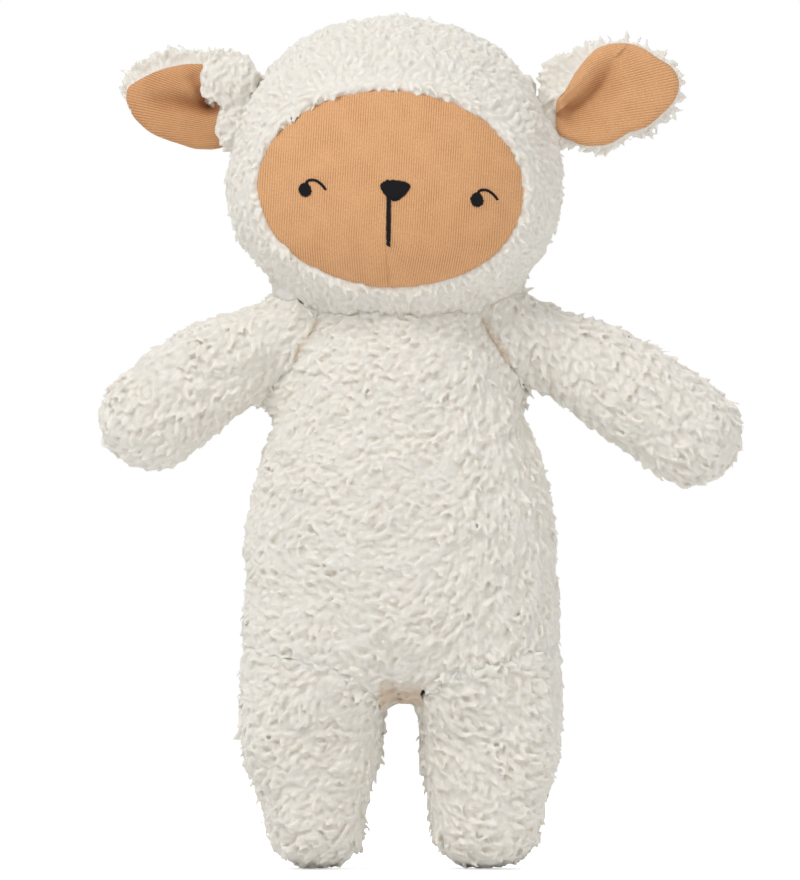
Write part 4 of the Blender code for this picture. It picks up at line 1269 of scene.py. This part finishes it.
# Each ear in millimetres outwards and up from its hinge: the edge of its jersey, the edge of its pile
# cloth, how far it leans forwards for its height, how much painted shade darkens its jersey, how its ribs
# lie, its hollows or its fold, which way its pile lies, and the folds of pile over its root. The sheep's
# right ear hangs with its pile edge on top, its left ear is folded forwards at the root.
ears = {
    "right": {
        "jersey": (
            (3, -9), (6.8, -12.5), (13.7, -13.5), (18.6, -12.9), (23.2, -11.4), (28.2, -9.8), (33.2, -7.9),
            (36.9, -5.8),
            (39.8, -3.3), (42.7, -0.2), (44.6, 3.3), (45.7, 6.6), (45.5, 10.4), (44.0, 12.7), (39.8, 15.3),
            (34.8, 17.8),
            (30.7, 19.3), (25.7, 20.6), (19.1, 21.4), (12, 20.5), (4, 15), (1, 4)),
        "cloth": (
            (2, -10), (8, -11.6), (14, -12.3), (23, -10.2), (33, -6.7), (39.3, -2.2), (43.8, 3.2), (46.5, 7),
            (47.6, 10),
            (46.5, 13.5), (43, 17.5), (38, 20.8), (31.5, 24), (25, 25.7), (18, 25.2), (11, 25.6), (4, 25), (-2, 22),
            (-6, 12), (-5, -3)),
        "tilt": 0.16, "slack": 0.22, "slopes": (0.03, 0.5), "lean_from": (-12, 30), "bend": 0.0, "middle": (24, 7),
        "hollows": (((33, 6.6), (12.5, 4.4), 3.8, 6.0), ((18.4, 15), (12, 5), 2.4, 4.2)),
        "fold": None, "flow": (0.35, 1.0, 0.0), "tufts": ((3.5, 15.0, 12.0, 10.5), (0.0, -2.0, 8.5, 13.0)),
    },
    "left": {
        "jersey": (
            (2, -5), (8.3, -8.7), (11.6, -10.2), (15.7, -10.6), (19.9, -10.4), (24.0, -9.4), (28.2, -7.0), (31.1, -5.2),
            (34.4, -4.2), (38.5, -2.7), (41.9, 0), (46.0, 3.7), (49.4, 7.5), (51.2, 11.6), (51.4, 15.8), (49.8, 19.9),
            (46.9, 22.8), (42.7, 25.3), (38.5, 28.2), (34.4, 30.3), (30.2, 31.1), (26.1, 31.2), (21.9, 30.7),
            (18.2, 29.1), (14.9, 26.2), (11.6, 22.4), (8.7, 18.3), (6.4, 14.1), (4.0, 10.0), (1.5, 7.0)),
        "cloth": (
            (0, -9), (8, -10.5), (16, -12.0), (24, -11.0), (31, -7), (39, -4.6), (44, -0.2), (49, 4.4), (52, 10),
            (52.4, 16), (50, 21), (45, 25.5), (38, 30), (30, 32), (22, 31.6), (15, 28.8), (9, 26.4), (3, 25), (-3, 20),
            (-5, 8), (-5, -3)),
        "tilt": 0.04, "slack": 0.02, "slopes": (0.05, 0.34), "lean_from": (-10, 25), "bend": 0.02, "middle": (26, 10),
        "hollows": (), "fold": ((7.0, 7.2), (12.4, 11.6), (16.5, 15.8), (19.9, 19.9), (24.6, 24.6)),
        "flow": (0.0, -0.35, 1.0), "tufts": (),
    },
}
ear_puff = 0.0036
ear_wall = 0.0012
ear_gap = 0.0006
ear_rings = 12
ear_voxel = 0.0011
ear_pile_scale = 0.85
# The jersey's edge rolls back over this many millimetres
roll_width = 2.6
roll_depth = 0.0022
# How much painted shade darkens the jersey in a dent, per millimetre of its depth
dent_shade = 0.10


def smooth_outline(corners, steps=8):
    """A closed smooth curve through the corners of an outline."""
    corners = np.array(corners, float)
    before, after, beyond = np.roll(corners, 1, 0), np.roll(corners, -1, 0), np.roll(corners, -2, 0)
    rows = []
    for step in range(steps):
        t = step / steps
        rows.append(0.5 * (2 * corners + (after - before) * t + (2 * before - 5 * corners + 4 * after - beyond) * t ** 2
                           + (3 * corners - before - 3 * after + beyond) * t ** 3))
    return np.stack(rows, 1).reshape(-1, 2)


def distance_inside(places, outline_points):
    """How far inside an outline each place lies, negative outside it."""
    start, end = outline_points, np.roll(outline_points, -1, 0)
    side = end - start
    off = places[:, None, :] - start[None]
    share = np.clip((off * side).sum(2) / (side ** 2).sum(1), 0, 1)
    nearest = np.sqrt(((off - share[..., None] * side) ** 2).sum(2)).min(1)
    crosses = (start[:, 1] > places[:, None, 1]) != (end[:, 1] > places[:, None, 1])
    with np.errstate(divide="ignore", invalid="ignore"):
        at = start[:, 0] + (places[:, None, 1] - start[:, 1]) * side[:, 0] / side[:, 1]
    inside = (crosses & (places[:, None, 0] < at)).sum(1) % 2 == 1
    return np.where(inside, nearest, -nearest)


def fold_depth(line, places):
    """The swell and the hollow along an ear's fold, in metres, fading towards its end."""
    off = places[..., None, :] - line[:-1]
    run = line[1:] - line[:-1]
    share = np.clip((off * run).sum(-1) / (run ** 2).sum(-1), 0, 1)
    gap = off - share[..., None] * run
    away = np.linalg.norm(gap, axis=-1)
    nearest = away.argmin(-1)
    pick = np.take_along_axis
    away = pick(away, nearest[..., None], -1)[..., 0]
    way = (nearest + pick(share, nearest[..., None], -1)[..., 0]) / len(run)
    sign_at = pick(run[:, 0] * gap[..., 1] - run[:, 1] * gap[..., 0], nearest[..., None], -1)[..., 0]
    t = away * np.sign(sign_at)
    fade = np.clip(1.15 - way ** 2.5, 0, 1)
    swell = -0.0032 * fade * np.exp(-((t - 4.0) / 3.2) ** 2)
    return swell + 0.0034 * fade * np.exp(-((t + 1.6) / 2.8) ** 2) + 0.0020 * fade * np.exp(-((t + 6.0) / 6.0) ** 2)


def ear_front(side):
    """An ear's jersey at places outwards and up from its hinge: its depth in metres, and its dents."""
    ear, sign, node = ears[side], side_of(side), side + "_ear_lining"
    pivot = joints[side + "_ear_flop"]["pos_m"]
    corners = points_of(frame["nodes"][node].data)

    def terms(u, v):
        return np.stack((np.ones_like(u), u, v, u * u, u * v, v * v), -1)

    fit = front_fit(node, [
        ((x - pivot[0]) * sign / 0.03, (z - pivot[2]) / 0.03, x, z)
        for x in np.linspace(corners[:, 0].min(), corners[:, 0].max(), 30)
        for z in np.linspace(corners[:, 2].min(), corners[:, 2].max(), 24)], terms)

    def dent_at(a, b):
        places = np.stack((a, b), -1)
        y = np.zeros(np.shape(a))
        for start, end, width, deep in ear["hollows"]:
            start, end = np.array(start), np.array(end)
            off = places - start
            share = np.clip((off @ (end - start)) / ((end - start) @ (end - start)), 0, 1)
            away = np.linalg.norm(off - share[..., None] * (end - start), axis=-1)
            y = y + deep / 1000 * (0.35 + 0.65 * share) * np.exp(-(away / width) ** 2)
        if ear["fold"]:
            y = y + fold_depth(np.array(ear["fold"]), places)
        return y

    def depth_at(a, b):
        return terms(a / 30, b / 30) @ fit - ear["tilt"] * (b - ear["middle"][1]) / 1000 + dent_at(a, b)

    return depth_at, dent_at


def edge_roll(inside):
    """How far the jersey rolls back at places so many millimetres inside its edge."""
    return roll_depth * (1 - np.sqrt(np.clip(1 - (1 - np.clip(inside / roll_width, 0, 1)) ** 2, 0, 1)))


def rib_lines(ear, edge_line, wale):
    """The lines of an ear's lining, which run along its ribs: each one's number and its places."""
    (slope_low, slope_high), (lean_low, lean_middle) = ear["slopes"], ear["lean_from"]
    ways = np.linspace(-8, 60, 273)
    lines = []
    for v in np.arange(-40, 60, wale / points_per_rib):
        lean = slope_low + (slope_high - slope_low) * min(1.0, max(0.0, (v - lean_low) / 36))
        bend = ear["bend"] * min(1.0, max(0.0, (v - 5) / 15)) * np.maximum(0, 20 - ways) ** 2
        ups = v + lean * (ways - lean_middle) - bend
        inside = distance_inside(np.stack((ways, ups), -1), edge_line)
        held = np.flatnonzero(inside > 0)
        if len(held) < 6:
            continue
        first, last = held[0], held[-1]
        start = np.interp(0, inside[first - 1:first + 1], ways[first - 1:first + 1])
        end = np.interp(0, -inside[last:last + 2], ways[last:last + 2])
        along = start + (end - start) * (0.5 - 0.5 * np.cos(np.linspace(0, math.pi, 44)))
        lines.append((v, along, np.interp(along, ways, ups)))
    return lines


def line_ear(side, placed, depth_at, dent_at, edge_line):
    """An ear's jersey lining with real ribs."""
    ear, knit = ears[side], bpy.context.scene.sheep_knit
    wale = knit.wale * 1000
    lines = rib_lines(ear, edge_line, wale)
    rows = len(lines[0][1])
    a = np.concatenate([line[1] for line in lines])
    b = np.concatenate([line[2] for line in lines])
    counts = np.repeat([line[0] / wale for line in lines], rows)
    y = depth_at(a, b) + edge_roll(np.clip(distance_inside(np.stack((a, b), -1), edge_line), 0, None))
    front, back = placed(a, b, y - rib_relief(counts)), placed(a, b, y + knit.thickness)
    mesh = shell_from_grid(side + "_ear_jersey", front, back, np.stack((counts, a), -1), len(lines), rows)
    outward_faces(mesh)
    # Painted shade: the jersey darkens in its dents, and all over by the ear's own share
    store(mesh, "slack", np.clip(np.tile(ear["slack"] + dent_shade * 1000 * dent_at(a, b), 2), 0, 1))
    piece = add_piece(side + "_ear_jersey", mesh, material_of("cotton_rib_jersey", rib_jersey_material))
    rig.ride(piece, side + "_ear")
    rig.replaces(piece, side + "_ear_lining")
    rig.slot(piece, "knit")
    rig.padded(piece, 0.3)


def ear_form(side, placed, depth_at, edge_line):
    """The thin puffed form behind an ear's lining, with the folds of pile over the front of its root."""
    ear = ears[side]
    outer, middle, rings = smooth_outline(ear["cloth"]), np.array(ear["middle"]), ear_rings
    fronts, backs = [], []
    for ring in range(1, rings + 1):
        share = ring / rings
        place = middle + (outer - middle) * share
        front = depth_at(place[:, 0], place[:, 1]) + ear_gap + edge_roll(distance_inside(place, edge_line))
        fronts.append(placed(place[:, 0], place[:, 1], front))
        backs.append(placed(place[:, 0], place[:, 1], front + ear_wall + ear_puff * math.sqrt(1 - share ** 2)))
    count = len(outer)
    centre = depth_at(middle[:1], middle[1:]) + ear_gap
    points = np.concatenate([placed(middle[:1], middle[1:], centre)] + fronts
                            + [placed(middle[:1], middle[1:], centre + ear_wall + ear_puff)] + backs)
    faces = []
    for base, turned in ((0, False), (1 + rings * count, True)):
        for at in range(count):
            after = (at + 1) % count
            faces.append((base, base + 1 + after, base + 1 + at) if turned else (base, base + 1 + at, base + 1 + after))
            for ring in range(rings - 1):
                low = base + 1 + ring * count
                quad = (low + at, low + at + count, low + after + count, low + after)
                faces.append(quad[::-1] if turned else quad)
    rim, far = 1 + (rings - 1) * count, 2 + (2 * rings - 1) * count
    for at in range(count):
        after = (at + 1) % count
        faces.append((rim + at, far + at, far + after, rim + after))
    form = mesh_from("ear_form", points, faces)
    outward_faces(form)
    for across, up, wide, high in ear["tufts"]:
        place = placed(across, up, float(depth_at(np.array([12.0]), np.array([up]))[0]) - 0.0005)
        shape = Matrix.Translation(Vector(place)) @ Matrix.Diagonal((wide / 1000, 0.0040, high / 1000, 1))
        remade([form], lambda model: bmesh.ops.create_icosphere(model, subdivisions=4, radius=1.0, matrix=shape), form)
    return form


def make_ear(side):
    """An ear: a jersey lining with real ribs over a pile-covered back."""
    ear, sign = ears[side], side_of(side)
    pivot = np.array(joints[side + "_ear_flop"]["pos_m"])
    depth_at, dent_at = ear_front(side)
    edge_line = smooth_outline(ear["jersey"])

    def placed(a, b, y):
        return np.stack((pivot[0] + sign * np.asarray(a) / 1000, y, pivot[2] + np.asarray(b) / 1000), -1)

    def outwards_and_up(points):
        return (points[:, 0] - pivot[0]) * sign * 1000, (points[:, 2] - pivot[2]) * 1000

    line_ear(side, placed, depth_at, dent_at, edge_line)
    cloth = voxel_skin(ear_form(side, placed, depth_at, edge_line), ear_voxel, 1)
    points, normals = points_of(cloth), normals_of(cloth)
    a, b = outwards_and_up(points)
    ahead = depth_at(a, b) - points[:, 1]
    out_a, out_b, radial = ear["flow"]
    away = np.stack((a, b), -1) - np.array(ear["middle"])
    away /= np.linalg.norm(away, axis=1)[:, None] + 1e-9
    flow = np.stack((sign * (out_a + radial * away[:, 0]), np.zeros(len(a)), out_b + radial * away[:, 1]), -1)
    # Tufts grow on the back, on the rim round the lining and on the folds at the root
    rim = -0.2 - distance_inside(np.stack((a, b), -1), edge_line)
    edge = np.maximum(normals[:, 1] + 0.3, rim)
    folded = np.zeros(len(a), bool)
    for across, up, wide, high in ear["tufts"]:
        folded |= ((a - across) / wide) ** 2 + ((b - up) / high) ** 2 < 1
    folded &= ahead > 0.0010
    edge = np.where(folded, 0.01, edge)
    flow[folded] = (sign, 0, -0.8)
    size = np.where(rim < -0.2, 0.75, 1.0)
    fleece = cover_with_pile(side + "_ear", cloth, flow, edge, size, np.zeros(len(a)), ear_pile_scale, 0.3)
    # No tuft comes through the lining
    points = points_of(fleece)
    a, b = outwards_and_up(points)
    lined = distance_inside(np.stack((a, b), -1), edge_line) > 0.2
    for across, up, wide, high in ear["tufts"]:
        lined &= ((a - across) / wide) ** 2 + ((b - up) / high) ** 2 > 1.5
    points[:, 1] = np.where(lined, np.maximum(points[:, 1], depth_at(a, b) + 0.0008), points[:, 1])
    set_points(fleece, points)


# The stage

def add_lamp(name, place, aim, size, power):
    """A soft square lamp that points at a place."""
    lamp = bpy.data.lights.new(name, "AREA")
    lamp.size = size
    lamp.energy = power
    holder = bpy.data.objects.new(name, lamp)
    holder.location = place
    holder.rotation_euler = (Vector(aim) - Vector(place)).to_track_quat("-Z", "Y").to_euler()
    bpy.context.scene.collection.objects.link(holder)


def set_stage(context):
    """A camera level with the sheep's middle, soft lamps, a white floor and a white surround."""
    stage = context.scene.sheep_stage
    middle = Vector((sheep_middle, 0.0, 0.1746))
    camera = bpy.data.cameras.new("camera")
    camera.lens = camera.sensor_width * stage.distance / stage.view_height
    camera.clip_end = 40.0
    holder = bpy.data.objects.new("camera", camera)
    holder.location = middle - Vector((0, stage.distance, 0))
    holder.rotation_euler = (math.pi / 2, 0, 0)
    context.scene.collection.objects.link(holder)
    context.scene.camera = holder

    add_lamp("key", (-0.9, -1.1, 1.7), middle, 0.9, stage.key)
    add_lamp("fill", (1.3, -1.2, 0.5), middle, 1.2, stage.fill)
    add_lamp("back", (0.3, 1.2, 1.4), middle, 1.0, stage.fill)

    mesh = mesh_from("floor", [(-6, -6, 0), (6, -6, 0), (6, 6, 0), (-6, 6, 0)], [(0, 1, 2, 3)])
    floor = add_piece("floor", mesh, paper_backdrop_material("studio_paper"))
    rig.stage(floor)

    world = bpy.data.worlds.new("studio")
    world.use_nodes = True
    tree = world.node_tree
    tree.nodes.clear()
    seen = seen_straight(tree)
    soft = add_node(tree, "ShaderNodeBackground", {"Color": (1, 1, 1, 1), "Strength": stage.ambient})
    white = add_node(tree, "ShaderNodeBackground", {"Color": (1, 1, 1, 1), "Strength": 1.0})
    mixed = add_node(tree, "ShaderNodeMixShader", {0: seen, 1: soft, 2: white})
    add_node(tree, "ShaderNodeOutputWorld", {"Surface": mixed})
    context.scene.world = world
    context.scene.view_settings.view_transform = "Standard"


# Operators

class SHEEP_OT_dress_torso(bpy.types.Operator):
    """Cover the body with cloth and pile"""
    bl_idname = "sheep.dress_torso"
    bl_label = "Dress the body"

    def execute(self, context):
        dress("torso")
        return {"FINISHED"}


class SHEEP_OT_dress_head(bpy.types.Operator):
    """Cover the head with cloth and pile, open at the face"""
    bl_idname = "sheep.dress_head"
    bl_label = "Dress the head"

    def execute(self, context):
        dress("head")
        return {"FINISHED"}


class SHEEP_OT_dress_arms(bpy.types.Operator):
    """Cover both arms with cloth and pile"""
    bl_idname = "sheep.dress_arms"
    bl_label = "Dress the arms"

    def execute(self, context):
        dress("left_arm")
        dress("right_arm")
        return {"FINISHED"}


class SHEEP_OT_dress_legs(bpy.types.Operator):
    """Cover both legs with cloth and pile"""
    bl_idname = "sheep.dress_legs"
    bl_label = "Dress the legs"

    def execute(self, context):
        dress("left_leg")
        dress("right_leg")
        return {"FINISHED"}


class SHEEP_OT_dress_ears(bpy.types.Operator):
    """Back both ears with pile and line them with ribbed jersey"""
    bl_idname = "sheep.dress_ears"
    bl_label = "Dress the ears"

    def execute(self, context):
        make_ear("left")
        make_ear("right")
        return {"FINISHED"}


class SHEEP_OT_make_face(bpy.types.Operator):
    """Make the ribbed jersey face and embroider it"""
    bl_idname = "sheep.make_face"
    bl_label = "Make the face"

    def execute(self, context):
        embroider(make_face())
        return {"FINISHED"}


class SHEEP_OT_set_stage(bpy.types.Operator):
    """Set the camera, the lamps, the floor and the backdrop"""
    bl_idname = "sheep.set_stage"
    bl_label = "Set the stage"

    def execute(self, context):
        set_stage(context)
        return {"FINISHED"}


operators = (
    SHEEP_OT_dress_torso, SHEEP_OT_dress_head, SHEEP_OT_dress_arms, SHEEP_OT_dress_legs, SHEEP_OT_dress_ears,
    SHEEP_OT_make_face, SHEEP_OT_set_stage,
)
settings = (
    ("sheep_pile", PileSettings),
    ("sheep_knit", KnitSettings),
    ("sheep_thread", ThreadSettings),
    ("sheep_stage", StageSettings),
)


class SHEEP_PT_panel(bpy.types.Panel):
    """Lists the sheep's operators"""
    bl_label = "Sheep"
    bl_idname = "SHEEP_PT_panel"
    bl_space_type = "VIEW_3D"
    bl_region_type = "UI"
    bl_category = "Sheep"

    def draw(self, context):
        for operator in operators:
            self.layout.operator(operator.bl_idname)


def register():
    for name, group in settings:
        bpy.utils.register_class(group)
        setattr(bpy.types.Scene, name, PointerProperty(type=group))
    for operator in operators:
        bpy.utils.register_class(operator)
    bpy.utils.register_class(SHEEP_PT_panel)


def unregister():
    bpy.utils.unregister_class(SHEEP_PT_panel)
    for operator in reversed(operators):
        bpy.utils.unregister_class(operator)
    for name, group in reversed(settings):
        delattr(bpy.types.Scene, name)
        bpy.utils.unregister_class(group)


def main():
    register()
    bpy.ops.sheep.dress_torso()
    bpy.ops.sheep.dress_head()
    bpy.ops.sheep.dress_arms()
    bpy.ops.sheep.dress_legs()
    bpy.ops.sheep.dress_ears()
    bpy.ops.sheep.make_face()
    bpy.ops.sheep.set_stage()
    bpy.context.view_layer.update()
    visual_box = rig.bounds()
    with open("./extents.json", "w") as file:
        json.dump({"cad": [list(c) for c in cad_box], "visual": [list(c) for c in visual_box]}, file)


if __name__ == "__main__":
    main()
